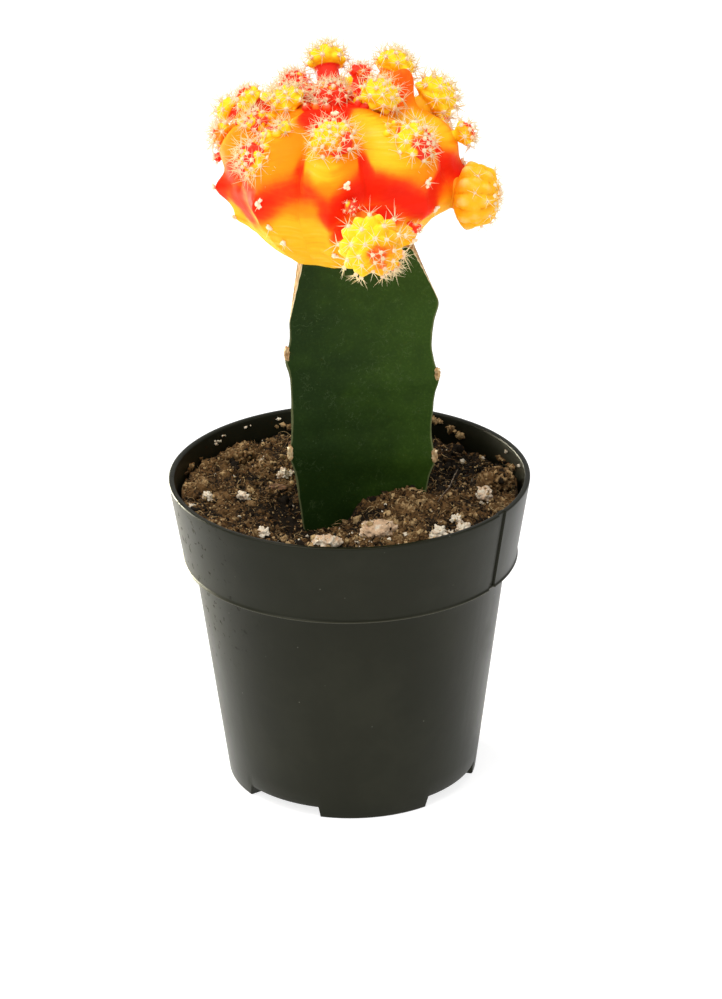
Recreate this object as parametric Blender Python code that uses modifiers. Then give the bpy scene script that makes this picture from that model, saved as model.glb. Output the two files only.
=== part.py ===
"""A moon cactus grafted on a green stem, in a small nursery pot. Metres, +Z up.

The origin is the centre of the pot's base, and -Y is the front. An azimuth is an angle in degrees
round +Z, from the front towards +X. An elevation is an angle in degrees above the level.
"""

import math

import bmesh
import bpy
from mathutils import Matrix, Vector, noise

MM = 0.001
GAP = 0.3 * MM  # between pieces that touch

# The pot: a 2.5 inch round nursery pot
RIM_RADIUS = 31.75 * MM
POT_HEIGHT = 56.7 * MM
LIP_WIDTH = 1.5 * MM
COLLAR_DEPTH = 15.0 * MM
COLLAR_FOOT_RADIUS = 29.4 * MM
WALL_TOP_RADIUS = 27.6 * MM
BASE_RADIUS = 22.2 * MM
WALL = 1.1 * MM
EDGE = 0.35 * MM
FOOT_HEIGHT = 2.0 * MM
FOOT_WIDTH = 2.8 * MM
FLOOR = 1.2 * MM
POT_STEPS = 72

FEET = 4
FOOT_AZIMUTH = 10.5
FOOT_GAP = (14.5 * MM, 6.0 * MM)  # across and in depth
SLOT = (9.0 * MM, 2.6 * MM)
SLOT_RADIUS = 18.0 * MM
GROOVE_AZIMUTH = 56.1
GROOVE_WIDTH = 1.9 * MM
GROOVE_DEPTH = 0.35 * MM

COLLAR_BOTTOM = POT_HEIGHT - COLLAR_DEPTH
FLOOR_TOP = FOOT_HEIGHT + FLOOR
INSIDE_STEP = (COLLAR_BOTTOM - 1.0 * MM, COLLAR_BOTTOM + 1.2 * MM)

# The potting mix
SOIL_LEVEL = 53.2 * MM
SOIL_STEPS = 48
SOIL_RINGS = 8
SOIL_LUMPS = 0.45 * MM
SOIL_FORMS = (  # x, y, rise and spread of each mound or hollow
    (10 * MM, -9 * MM, 2.6 * MM, 7 * MM),
    (-8 * MM, -8 * MM, -6.0 * MM, 7 * MM),
    (0, -9 * MM, -2.5 * MM, 5 * MM),
    (15 * MM, 12 * MM, -4.0 * MM, 7 * MM),
    (-23 * MM, 0, 0.7 * MM, 8 * MM),
    (25 * MM, 0, 1.4 * MM, 6 * MM),
)

# The rootstock: three ribs, from the soil to the graft
STEM_CENTRE = (1.3 * MM, 3.0 * MM)
STEM_RIBS = {-51: 14.5 * MM, 69: 14.6 * MM, -171: 13.6 * MM}  # azimuth to reach
STEM_AREOLES = {-51: (82.7, 63.5), 69: (90.3, 76.3, 60.8), -171: (86.0, 71.0, 57.0)}  # in mm
STEM_FOOT = 38.0 * MM
GRAFT_HEIGHT = 99.2 * MM
STEM_LEVELS = 32
STEM_NARROWING = 0.34
STEM_HOLLOW = 1.0 * MM
SIDE_SHARES = (0.035, 0.12, 0.3, 0.5, 0.7, 0.88, 0.965)
AREOLE_BUMP = (0.9 * MM, 2.3 * MM, 0.9 * MM)  # height, spread and how far below the areole it peaks
STEM_WAISTS = {-51: 0.0, 69: 0.5 * MM, -171: 0.5 * MM}
AREOLE_WAIST = (3.0 * MM, 5.5 * MM)  # spread and how far above the areole it lies
PARINGS = {  # where the cut starts, how deep it gets and how far round it is turned
    -51: (87.5 * MM, 2.8 * MM, -17),
    69: (90.1 * MM, 4.4 * MM, 17),
    -171: (89.0 * MM, 2.8 * MM, 0),
}

# The scion: a ribbed globe with a full crown and a keel that narrows to the graft
SCION_CENTRE = Vector((-1.2 * MM, -1.5 * MM, 113.0 * MM))
SCION_RADIUS = 21.5 * MM
CROWN = (12.6 * MM, 2.45)  # half height and roundness
KEEL = (18.0 * MM, 1.45)
SCION_RIBS = (  # azimuths of a crest and of the groove after it, and the crest's girth
    (-154, -135, 0.98),
    (-116, -97, 0.98),
    (-78, -60, 0.97),
    (-41, -20, 1.0),
    (-4, 14, 1.0),
    (45, 68, 1.0),
    (88, 108, 0.98),
    (128, 147, 0.98),
    (167, 186, 1.0),
)
SCION_GROOVE = (0.11, 0.03)  # depth, and what is added above the middle
SCION_SWELL = (0.75 * MM, 27, 13)  # height, elevation and spread
SCION_WAIST = (-1.25 * MM, 5.5, 6)
SCION_FLANK = (-0.45 * MM, -15, 9)
SCION_GRID = (72, 24)

# The offsets: azimuth, elevation, radius and lift of the centre above the scion's skin, in mm
OFFSETS = {
    "front_low": (13, -11, 5.6, 6.2),
    "right_low": (76, -6, 5.6, 4.7),
    "centre": (-3, 35, 3.7, -0.1),
    "centre_right": (46, 28, 3.6, -0.4),
    "left_low": (-47, 20, 3.1, -0.5),
    "left_mid": (-73, 36, 2.4, 0.0),
    "left_upper": (-88, 57, 3.1, 1.2),
    "left_shoulder": (-121, 19, 2.4, 2.4),
    "left_star": (-40, 40, 1.3, 0.6),
    "left_outer": (-98, 17, 2.3, 1.6),
    "left_tip": (-93, 41, 2.4, 3.8),
    "top_left": (-172, 50, 3.4, 5.9),
    "top_right": (140, 44, 3.6, 5.2),
    "upper_middle": (81, 62, 3.6, 1.8),
    "upper_right": (113, 31, 4.1, 3.1),
    "right_upper": (88, 18, 2.3, 1.4),
    "crown": (-103, 85, 3.0, 1.0),
    "top_middle": (-142, 46, 2.6, 2.0),
    "top_behind": (156, 57, 2.0, 3.1),
    "left_bud": (-93, 7, 0.9, 1.3),
    "low_bud": (40, -42, 1.2, 1.9),
    "front_bud": (6, 3, 1.2, 1.1),
    "right_bud": (39, -12, 0.9, 2.0),
    "back_left": (-151, 11, 4.2, 2.2),
    "back_middle": (173, 19, 3.6, 0.8),
    "back_right": (141, 5, 4.6, 4.9),
    "back_low": (-173, -18, 2.6, 4.3),
    "back_bud": (-123, -12, 1.4, 2.0),
}
OFFSET_GRID = (12, 7)
OFFSET_FLATNESS = 0.92
OFFSET_VALLEY = 0.16
NECK_ELEVATION = -60
NECK_SHARE = 0.5
NECK_ROOT = 2.0 * MM

# What lies in the mix: x, y, half sizes and turn, in mm and degrees
GRAINS = {
    "perlite_front": (-3.9, -22.3, 2.6, 1.4, 1.1, 8),
    "perlite_middle": (4.9, -17.5, 3.1, 2.1, 1.4, 15),
    "perlite_right": (15.3, -19.6, 1.6, 1.4, 1.2, 40),
    "perlite_edge": (19.4, -17.1, 1.1, 0.9, 0.9, 0),
    "perlite_small": (18.5, -13.9, 0.9, 0.9, 0.8, 0),
    "perlite_far_right": (23.6, -4.4, 1.5, 1.2, 1.1, 70),
    "perlite_left": (-11.4, 7.0, 1.3, 1.0, 0.9, 20),
    "perlite_far_left": (-24.7, -3.0, 0.9, 0.8, 0.8, 0),
    "perlite_left_small": (-18.5, -2.0, 0.9, 0.7, 0.7, 0),
    "perlite_left_front": (-15.1, -16.3, 1.1, 0.9, 0.8, 30),
    "perlite_back": (8.0, 24.0, 1.5, 1.2, 1.0, 50),
    "bark_left": (-12.6, 2.7, 1.8, 0.7, 0.6, -20),
    "bark_back": (-9.0, 22.0, 2.2, 0.9, 0.7, 35),
    "clod_moss": (25.6, -0.1, 2.9, 2.5, 1.9, 0),
    "clod_peat": (-19.6, 14.8, 2.4, 1.7, 1.3, 30),
}
GRAIN_ROUGHNESS = 0.22
GRAIN_RISE = 0.25
TWIG_PLAN = ((15.9, -7.6, 0.8), (16.8, -4.9, 1.0), (17.6, -2.1, 1.7), (18.7, 0.6, 2.9))
TWIG_RADIUS = 0.35 * MM

FINISHES = {  # colour, roughness
    "pot": ((0.026, 0.027, 0.021), 0.42),
    "soil": ((0.085, 0.042, 0.020), 0.95),
    "rootstock": ((0.028, 0.085, 0.018), 0.45),
    "scion": ((0.95, 0.30, 0.02), 0.40),
    "offset": ((0.93, 0.47, 0.03), 0.42),
    "perlite": ((0.80, 0.74, 0.66), 0.85),
    "bark": ((0.20, 0.10, 0.05), 0.90),
    "clod": ((0.16, 0.10, 0.045), 0.95),
    "twig": ((0.12, 0.07, 0.04), 0.90),
}


def cleared_scene():
    """Empties the scene and returns the collections for the parts and for the cutters."""
    for old in list(bpy.data.objects):
        bpy.data.objects.remove(old)
    collections = []
    for name in ("Moon cactus", "Cutters"):
        collection = bpy.data.collections.new(name)
        bpy.context.scene.collection.children.link(collection)
        collections.append(collection)
    return collections


def finish_named(name):
    """A matte or waxy material from the table of finishes."""
    material = bpy.data.materials.get(name)
    if material is None:
        colour, roughness = FINISHES[name]
        material = bpy.data.materials.new(name)
        material.use_nodes = True
        surface = material.node_tree.nodes["Principled BSDF"]
        surface.inputs["Base Color"].default_value = (*colour, 1)
        surface.inputs["Roughness"].default_value = roughness
        surface.inputs["Metallic"].default_value = 0
    return material


def dressed(piece, finish):
    """Gives a part its material and smooth shading with sharp edges kept."""
    piece.data.materials.append(finish_named(finish))
    piece.data.shade_smooth()
    piece.data.set_sharp_from_angle(angle=math.radians(40))
    return piece


def as_cutter(piece):
    """Marks an object as a helper that isn't part of the model."""
    piece.hide_render = True
    piece.display_type = "WIRE"
    return piece


def around(azimuth, radius, height):
    """The point at this azimuth, distance from the Z axis and height."""
    turn = math.radians(azimuth)
    return Vector((radius * math.sin(turn), -radius * math.cos(turn), height))


def facing(azimuth, radius, height, lean=0.0):
    """A frame at that point with -Y outwards and +Z up, leaning outwards by an angle in radians."""
    turned_to = Matrix.Rotation(math.radians(azimuth), 4, "Z") @ Matrix.Rotation(lean, 4, "X")
    return Matrix.Translation(around(azimuth, radius, height)) @ turned_to


def cut(piece, operand):
    """Takes an object, or every object of a collection, away from a part."""
    boolean = piece.modifiers.new("Cut", "BOOLEAN")
    boolean.operation = "DIFFERENCE"
    boolean.solver = "EXACT"
    if isinstance(operand, bpy.types.Collection):
        boolean.operand_type = "COLLECTION"
        boolean.collection = operand
    else:
        boolean.object = operand


def cutter_group(cutters, name):
    """A collection of its own inside the cutters' collection."""
    group = bpy.data.collections.new(name)
    cutters.children.link(group)
    return group


def new_object(name, mesh, collection):
    """Links a mesh to the scene as an object."""
    piece = bpy.data.objects.new(name, mesh)
    collection.objects.link(piece)
    return piece


def object_from(name, shape, collection):
    """Turns a bmesh into an object, with its faces pointing out."""
    bmesh.ops.recalc_face_normals(shape, faces=shape.faces)
    mesh = bpy.data.meshes.new(name)
    shape.to_mesh(mesh)
    shape.free()
    return new_object(name, mesh, collection)


def block(name, size, frame, shift, collection):
    """A box cutter of this size, moved by shift in its own frame."""
    shape = bmesh.new()
    bmesh.ops.create_cube(shape, size=1)
    bmesh.ops.scale(shape, vec=size, verts=shape.verts)
    bmesh.ops.translate(shape, vec=shift, verts=shape.verts)
    bmesh.ops.transform(shape, matrix=frame, verts=shape.verts)
    return as_cutter(object_from(name, shape, collection))


def turned(name, outline, steps, collection):
    """Turns (radius, height) points, which run down the outer side, about the Z axis."""
    mesh = bpy.data.meshes.new(name)
    edges = [(i, i + 1) for i in range(len(outline) - 1)]
    mesh.from_pydata([(radius, 0, height) for radius, height in outline], edges, [])
    piece = new_object(name, mesh, collection)
    screw = piece.modifiers.new("Turn", "SCREW")
    screw.steps = screw.render_steps = steps
    screw.use_merge_vertices = True
    screw.merge_threshold = 0.01 * MM
    return piece


def set_in_mesh(piece):
    """Replaces a part's mesh by what its modifiers make of it."""
    evaluated = piece.evaluated_get(bpy.context.evaluated_depsgraph_get())
    mesh = bpy.data.meshes.new_from_object(evaluated)
    piece.modifiers.clear()
    piece.data = mesh
    return piece


# The pot


def between(height, low, high):
    """A radius on the straight line between two (radius, height) points."""
    share = (height - low[1]) / (high[1] - low[1])
    return low[0] + share * (high[0] - low[0])


def wall_radius(height):
    """The outer radius of the tapered wall below the collar."""
    return between(height, (BASE_RADIUS, 0), (WALL_TOP_RADIUS, COLLAR_BOTTOM))


def inside_line():
    """The (radius, height) points of the pot's inside, from the floor up to the lip."""
    step_low, step_high = INSIDE_STEP
    return [
        (wall_radius(FLOOR_TOP) - WALL, FLOOR_TOP),
        (wall_radius(step_low) - WALL, step_low),
        (COLLAR_FOOT_RADIUS - LIP_WIDTH + EDGE, step_high),
        (RIM_RADIUS - LIP_WIDTH, POT_HEIGHT - EDGE),
    ]


def inside_radius(height):
    """The pot's inner radius at a height."""
    line = inside_line()
    for low, high in zip(line, line[1:]):
        if height <= high[1]:
            return between(height, low, high)
    return line[-1][0]


def pot_outline():
    """The pot's section, from the middle of the floor, over the lip and down the outside."""
    return [
        (0, FLOOR_TOP),
        *inside_line(),
        (RIM_RADIUS - LIP_WIDTH + EDGE, POT_HEIGHT),
        (RIM_RADIUS - EDGE, POT_HEIGHT),
        (RIM_RADIUS, POT_HEIGHT - EDGE),
        (COLLAR_FOOT_RADIUS, COLLAR_BOTTOM + EDGE),
        (COLLAR_FOOT_RADIUS - EDGE, COLLAR_BOTTOM),
        (WALL_TOP_RADIUS, COLLAR_BOTTOM),
        (wall_radius(EDGE), EDGE),
        (BASE_RADIUS - EDGE, 0),
        (BASE_RADIUS - FOOT_WIDTH, 0),
        (BASE_RADIUS - FOOT_WIDTH, FOOT_HEIGHT),
        (0, FOOT_HEIGHT),
    ]


def pot_cutters(cutters):
    """The gaps between the feet, the drain slots inside them and the groove in the collar."""
    group = cutter_group(cutters, "Pot cutters")
    pitch = 360 / FEET
    for i in range(FEET):
        azimuth = FOOT_AZIMUTH + (i + 0.5) * pitch
        at_foot = facing(azimuth, BASE_RADIUS - FOOT_WIDTH / 2, 0)
        gap_size = (FOOT_GAP[0], FOOT_GAP[1], 2.1 * FOOT_HEIGHT)
        block(f"foot_gap_{i}", gap_size, at_foot, (0, 0, 0), group)
        at_slot = facing(azimuth, SLOT_RADIUS, 0)
        block(f"drain_slot_{i}", (*SLOT, 4 * FLOOR_TOP), at_slot, (0, 0, 0), group)
    lean = math.atan2(RIM_RADIUS - COLLAR_FOOT_RADIUS, COLLAR_DEPTH)
    middle = (RIM_RADIUS + COLLAR_FOOT_RADIUS) / 2
    at_collar = facing(GROOVE_AZIMUTH, middle, POT_HEIGHT - COLLAR_DEPTH / 2, lean)
    groove_size = (GROOVE_WIDTH, 2 * GROOVE_DEPTH, 1.2 * COLLAR_DEPTH)
    block("groove", groove_size, at_collar, (0, 0, 0), group)
    return group


def build_pot(parts, cutters):
    """The nursery pot."""
    pot = turned("pot", pot_outline(), POT_STEPS, parts)
    cut(pot, pot_cutters(cutters))
    return dressed(set_in_mesh(pot), "pot")


# The rootstock


def stem_reach(rib, height):
    """How far a rib's edge stands from the stem's axis at a height."""
    climb = (height - STEM_FOOT) / (GRAFT_HEIGHT - STEM_FOOT)
    reach = STEM_RIBS[rib] * (1 - STEM_NARROWING * (1 - min(1, 1.8 * climb)) ** 2)
    for areole in STEM_AREOLES[rib]:
        bump, bump_spread, bump_drop = AREOLE_BUMP
        waist_spread, waist_rise = AREOLE_WAIST
        above = height - areole * MM
        reach += bump * math.exp(-(((above + bump_drop) / bump_spread) ** 2))
        reach -= STEM_WAISTS[rib] * math.exp(-(((above - waist_rise) / waist_spread) ** 2))
    return reach


def stem_ring(height, grow=0.0):
    """The stem's outline at a height: three rounded edges with slightly hollow sides."""
    axis = Vector((*STEM_CENTRE, height))
    ribs = sorted(STEM_RIBS)
    tips = [around(rib, stem_reach(rib, height) + 2 * grow, 0) for rib in ribs]
    ring = []
    for tip, following in zip(tips, tips[1:] + tips[:1]):
        ring.append(axis + tip * 0.985)
        inward = -(tip + following).normalized()
        for share in SIDE_SHARES:
            hollow = STEM_HOLLOW * math.sin(math.pi * share)
            ring.append(axis + tip.lerp(following, share) + inward * hollow)
    return ring


def loft(name, rings, collection):
    """Joins rings of points of equal count by a skin, with flat ends."""
    shape = bmesh.new()
    rows = [[shape.verts.new(point) for point in ring] for ring in rings]
    count = len(rows[0])
    for low, high in zip(rows, rows[1:]):
        for i in range(count):
            j = (i + 1) % count
            shape.faces.new((low[i], low[j], high[j], high[i]))
    shape.faces.new(rows[0])
    shape.faces.new(rows[-1])
    return object_from(name, shape, collection)


def stem_body(name, foot, top, grow, collection):
    """The stem between two heights, as if no edge was pared."""
    levels = [foot + (top - foot) * i / STEM_LEVELS for i in range(STEM_LEVELS + 1)]
    return loft(name, [stem_ring(level, grow) for level in levels], collection)


def build_rootstock(parts, cutters):
    """The green stem, with the top of each rib pared off at a slant."""
    stem = stem_body("rootstock", STEM_FOOT, GRAFT_HEIGHT, 0, parts)
    group = cutter_group(cutters, "Stem cutters")
    for rib, (low, depth, turn) in PARINGS.items():
        lean = -math.atan2(depth, GRAFT_HEIGHT - low)
        at_edge = facing(rib + turn, 0, 0, lean)
        at_edge.translation = around(rib, stem_reach(rib, low), low) + Vector((*STEM_CENTRE, 0))
        size = 20 * MM
        block(f"paring_{rib}", (size, size, 2 * size), at_edge, (0, -size / 2, 0), group)
    cut(stem, group)
    return dressed(set_in_mesh(stem), "rootstock")


# The scion


def skin_distance(elevation):
    """From the scion's centre to the crest of its ribs, at an elevation."""
    half_height, roundness = CROWN if elevation >= 0 else KEEL
    angle = math.radians(abs(elevation))
    across = math.cos(angle) / SCION_RADIUS
    along = math.sin(angle) / half_height
    return (across**roundness + along**roundness) ** (-1 / roundness)


def eased(value, low, high):
    """Rises smoothly from 0 to 1 between two values."""
    share = min(1, max(0, (value - low) / (high - low)))
    return share * share * (3 - 2 * share)


def fold(form, elevation):
    """A ring round the scion that swells it or draws it in."""
    height, middle, spread = form
    return height * math.exp(-(((elevation - middle) / spread) ** 2))


def rib_place(azimuth):
    """How far round its rib an azimuth lies, 0 on a crest and 0.5 in a groove, and the girth."""
    turns = [turn for crest, groove, _ in SCION_RIBS for turn in (crest, groove)]
    girths = [girth for *_, at_crest in SCION_RIBS for girth in (at_crest, 1.0)]
    turns.append(turns[0] + 360)
    girths.append(girths[0])
    azimuth = (azimuth - turns[0]) % 360 + turns[0]
    index = max(i for i, turn in enumerate(turns[:-1]) if turn <= azimuth)
    share = (azimuth - turns[index]) / (turns[index + 1] - turns[index])
    rise = girths[index + 1] - girths[index]
    return (index % 2 + share) / 2, girths[index] + rise * eased(share, 0, 1)


def scion_distance(azimuth, elevation):
    """From the scion's centre to its skin, ribs, grooves and folds included."""
    place, girth = rib_place(azimuth)
    level = math.cos(math.radians(elevation))
    keen = math.sin(math.pi * place) ** 0.8
    full = 1 - abs(math.cos(math.pi * place)) ** 0.6
    groove = keen + (full - keen) * eased(elevation, -4, 14)
    depth, extra = SCION_GROOVE
    if elevation < 0:
        depth *= max(0.25, 1 + elevation / 60)
    depth += extra * eased(elevation, 0, 15) * level
    crest = 1 - math.sin(math.pi * place) ** 1.2
    distance = skin_distance(elevation) * girth * (1 - depth * level**0.7 * groove)
    distance += fold(SCION_SWELL, elevation) * (0.4 + 0.6 * crest)
    distance += fold(SCION_WAIST, elevation) * (0.45 + 0.55 * crest)
    return distance + fold(SCION_FLANK, elevation)


def scion_body(name, grow, collection):
    """The scion's ribbed globe about its own centre, cut flat where it meets the stem."""
    shape = bmesh.new()
    across, up = SCION_GRID
    bmesh.ops.create_uvsphere(shape, u_segments=across, v_segments=up, radius=1)
    floor = GRAFT_HEIGHT + GAP - SCION_CENTRE.z - grow
    for vertex in shape.verts:
        direction = vertex.co.normalized()
        azimuth = math.degrees(math.atan2(direction.x, -direction.y))
        elevation = math.degrees(math.asin(max(-1, min(1, direction.z))))
        vertex.co = direction * (scion_distance(azimuth, elevation) + grow)
        vertex.co.z = max(vertex.co.z, floor)
    piece = object_from(name, shape, collection)
    piece.location = SCION_CENTRE
    return piece


def build_scion(parts):
    """The coloured body on top of the stem."""
    return dressed(scion_body("scion", 0, parts), "scion")


# The offsets


def offset_shape(name, radius, lift, collection):
    """A small ribbed globe that looks along +Z, with a neck below."""
    shape = bmesh.new()
    across, up = OFFSET_GRID
    bmesh.ops.create_uvsphere(shape, u_segments=across, v_segments=up, radius=1)
    for vertex in shape.verts:
        direction = vertex.co.normalized()
        elevation = math.degrees(math.asin(max(-1, min(1, direction.z))))
        if elevation < NECK_ELEVATION:
            level = Vector((direction.x, direction.y, 0))
            if level.length > 0.01:
                level *= radius * NECK_SHARE / level.length
            vertex.co = level - Vector((0, 0, max(lift + NECK_ROOT, radius)))
            continue
        azimuth = math.atan2(direction.y, direction.x)
        valley = 0.5 - 0.5 * math.cos(azimuth * across / 2)
        depth = OFFSET_VALLEY * math.cos(math.radians(elevation))
        vertex.co = direction * radius * (1 - depth * valley)
        vertex.co.z *= OFFSET_FLATNESS
    return object_from(name, shape, collection)


def build_offsets(scion, parts, cutters):
    """The plantlets, each seated just off the scion's skin."""
    clearance = as_cutter(scion_body("scion_clearance", GAP, cutters))
    for name, (azimuth, elevation, radius, lift) in OFFSETS.items():
        level = math.radians(elevation)
        outward = around(azimuth, math.cos(level), math.sin(level))
        piece = offset_shape(f"offset_{name}", radius * MM, lift * MM, parts)
        piece.parent = scion
        piece.location = outward * (scion_distance(azimuth, elevation) + lift * MM)
        piece.rotation_euler = outward.to_track_quat("Z", "Y").to_euler()
        cut(dressed(piece, "offset"), clearance)


# The potting mix and what lies in it


def soil_height(x, y):
    """The height of the mix's surface at a place."""
    height = SOIL_LEVEL
    for form_x, form_y, rise, spread in SOIL_FORMS:
        away = math.hypot(x - form_x, y - form_y) / spread
        height += rise * math.exp(-(away**2))
    return height + SOIL_LUMPS * noise.noise(Vector((x, y, 0)) / (3 * MM))


def soil_outline():
    """The mix's section: rings across the top, then down inside the pot's wall."""
    edge = inside_radius(SOIL_LEVEL) - GAP
    top = [(edge * i / SOIL_RINGS, SOIL_LEVEL) for i in range(SOIL_RINGS + 1)]
    inside = inside_line()[:3]
    side = [(radius - GAP, height + GAP) for radius, height in reversed(inside)]
    return [*top, *side, (0, FLOOR_TOP + GAP)]


def shape_surface(soil):
    """Raises the top of the mix into its mounds and hollows, and keeps it off the pot."""
    for vertex in soil.data.vertices:
        if vertex.co.z < SOIL_LEVEL - GAP:
            continue
        vertex.co.z = soil_height(vertex.co.x, vertex.co.y)
        radius = math.hypot(vertex.co.x, vertex.co.y)
        room = inside_radius(vertex.co.z) - GAP
        if radius > 0.9 * room:
            pull = min(1, room / radius)
            vertex.co.x *= pull
            vertex.co.y *= pull


def grain_shape(name, row, grow, collection):
    """A rough stone, chip or clod from its row of the table, half sunk in the mix."""
    x, y, *halves, turn = row
    halves = [half * MM + grow for half in halves]
    shape = bmesh.new()
    bmesh.ops.create_icosphere(shape, subdivisions=2, radius=1)
    for vertex in shape.verts:
        rough = noise.noise(vertex.co * 1.3 + Vector((x, y, 0)))
        vertex.co *= 1 + GRAIN_ROUGHNESS * rough
        vertex.co = Vector(vertex.co[i] * halves[i] for i in range(3))
    piece = object_from(name, shape, collection)
    rise = GRAIN_RISE * row[4] * MM
    piece.location = (x * MM, y * MM, soil_height(x * MM, y * MM) + rise)
    piece.rotation_euler.z = math.radians(turn)
    return piece


def build_twig(soil, parts):
    """A thin twig that leans up from the mix."""
    line = bpy.data.curves.new("twig", "CURVE")
    line.dimensions = "3D"
    line.bevel_depth = TWIG_RADIUS
    line.bevel_resolution = 1
    line.use_fill_caps = True
    spline = line.splines.new("POLY")
    spline.points.add(len(TWIG_PLAN) - 1)
    for point, (x, y, rise) in zip(spline.points, TWIG_PLAN):
        point.co = (x * MM, y * MM, soil_height(x * MM, y * MM) + rise * MM, 1)
    line.materials.append(finish_named("twig"))
    new_object("twig", line, parts).parent = soil


def build_soil(parts, cutters):
    """The mix, with a socket for the stem and for each grain, and the grains themselves."""
    soil = set_in_mesh(turned("soil", soil_outline(), SOIL_STEPS, parts))
    shape_surface(soil)
    sockets = cutter_group(cutters, "Soil cutters")
    as_cutter(stem_body("stem_socket", STEM_FOOT - GAP, POT_HEIGHT + GAP, GAP, sockets))
    for name, row in GRAINS.items():
        as_cutter(grain_shape(f"{name}_socket", row, GAP, sockets))
        grain = grain_shape(name, row, 0, parts)
        grain.parent = soil
        dressed(grain, name.split("_")[0])
    cut(soil, sockets)
    build_twig(soil, parts)
    return dressed(soil, "soil")


def main():
    """Builds the pot, the mix, the stem, the scion and its offsets."""
    parts, cutters = cleared_scene()
    build_pot(parts, cutters)
    build_soil(parts, cutters)
    build_rootstock(parts, cutters)
    scion = build_scion(parts)
    build_offsets(scion, parts, cutters)


main()
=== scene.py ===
"""The looks of a potted moon cactus, built round its packed construction model.

Lengths are in metres, +Z is up and -Y is the front. An azimuth is an angle in degrees round +Z,
from the front towards +X, and an elevation is an angle in degrees above the level.
"""

import logging
import math
from dataclasses import astuple, dataclass, field
from enum import Enum

import bmesh
import bpy
import numpy as np
from mathutils import Matrix, Vector, noise


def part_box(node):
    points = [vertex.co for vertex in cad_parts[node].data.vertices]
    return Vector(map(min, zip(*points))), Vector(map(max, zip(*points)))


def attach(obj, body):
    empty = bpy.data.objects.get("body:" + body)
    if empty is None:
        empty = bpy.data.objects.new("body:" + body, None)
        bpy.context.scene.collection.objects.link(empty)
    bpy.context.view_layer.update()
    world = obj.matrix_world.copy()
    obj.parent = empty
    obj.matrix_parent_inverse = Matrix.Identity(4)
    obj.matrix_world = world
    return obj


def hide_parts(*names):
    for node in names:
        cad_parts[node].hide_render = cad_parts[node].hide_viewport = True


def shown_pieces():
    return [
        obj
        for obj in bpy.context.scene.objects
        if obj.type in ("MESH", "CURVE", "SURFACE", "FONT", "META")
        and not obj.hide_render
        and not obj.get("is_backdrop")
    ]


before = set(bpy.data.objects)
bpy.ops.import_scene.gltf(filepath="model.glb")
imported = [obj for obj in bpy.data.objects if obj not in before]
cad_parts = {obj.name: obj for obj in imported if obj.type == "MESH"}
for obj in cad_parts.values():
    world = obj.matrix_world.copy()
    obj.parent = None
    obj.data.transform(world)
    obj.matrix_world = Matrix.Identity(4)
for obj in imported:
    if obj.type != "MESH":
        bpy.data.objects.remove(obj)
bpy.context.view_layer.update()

MM = 0.001
BODY = "root"
LOG = logging.getLogger("moon_cactus")
Array = np.ndarray
Chance = np.random.Generator
Colour = tuple[float, float, float]
Triple = tuple[float, float, float]
Material = bpy.types.Material
Mesh = bpy.types.Mesh
Piece = bpy.types.Object
Socket = bpy.types.NodeSocket


# Geometry


def heading(azimuth: Array | float, elevation: Array | float) -> Array:
    """Points unit vectors in these directions.

    Args:
        azimuth: degrees round +Z from the front.
        elevation: degrees above the level.

    Returns:
        The vectors, with their axis last.
    """
    turn, lift = np.radians(azimuth), np.radians(elevation)
    level = np.cos(lift)
    return np.stack([np.sin(turn) * level, -np.cos(turn) * level, np.sin(lift) + 0 * turn], -1)


def unit(vectors: Array) -> Array:
    """The same directions at length one."""
    return vectors / np.linalg.norm(vectors, axis=-1, keepdims=True)


def square_to(direction: Array) -> tuple[Array, Array]:
    """Finds two unit vectors square to a direction and to each other.

    Args:
        direction: one unit vector or many.

    Returns:
        The two, for each direction.
    """
    helper = np.where(np.abs(direction[..., 2:]) < 0.9, [0.0, 0.0, 1.0], [1.0, 0.0, 0.0])
    across = unit(np.cross(helper, direction))
    return across, np.cross(direction, across)


def eased(value: Array, low: float, high: float) -> Array:
    """0 below low, 1 above high and a smooth step between them."""
    share = np.clip((value - low) / (high - low), 0, 1)
    return share * share * (3 - 2 * share)


def hump(value: Array, middle: float, spread: float) -> Array:
    """1 at the middle, and less the further off, over about the spread on each side."""
    return np.exp(-(((value - middle) / spread) ** 2))


def turned(azimuth: Array, middle: float) -> Array:
    """How far azimuths are past a middle one, from -180 to 180 degrees."""
    return (azimuth - middle + 180) % 360 - 180


def circle(turn: Array, across: Array, beside: Array) -> Array:
    """Unit vectors at angles round the circle that two axes lay out."""
    return np.cos(turn)[:, None] * across + np.sin(turn)[:, None] * beside


def laid_along(local: Array, first: Array, second: Array, third: Array) -> Array:
    """Points given by how far they are along each of three axes."""
    return local[:, :1] * first + local[:, 1:2] * second + local[:, 2:] * third


def plan(radius: Array | float, turn: Array) -> Array:
    """The (x, y) places at distances from the pot's axis and angles from the front, in radians."""
    return np.stack([radius * np.sin(turn), -radius * np.cos(turn)], -1)


def rough(points: Array, size: float, octaves: int = 3) -> Array:
    """Smooth noise from about -1 to 1 at each point, with lumps of this size."""
    scaled = (points / size).tolist()
    return np.array([noise.fractal(Vector(p), 1.0, 2.0, octaves) for p in scaled])


def pebbled(points: Array, size: float) -> Array:
    """0 between pebbles and 1 on top of each, with pebbles of this size."""
    scaled = (points / size).tolist()
    return np.array([1 - noise.voronoi(Vector(p))[0][0] for p in scaled])


def node_points(node: str) -> Array:
    """The vertices of a construction node."""
    return np.array([v.co[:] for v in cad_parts[node].data.vertices])


def nodes_of(*kinds: str) -> list[str]:
    """The construction nodes of these kinds, by name."""
    return sorted(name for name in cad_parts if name.split("_")[0] in kinds)


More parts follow.
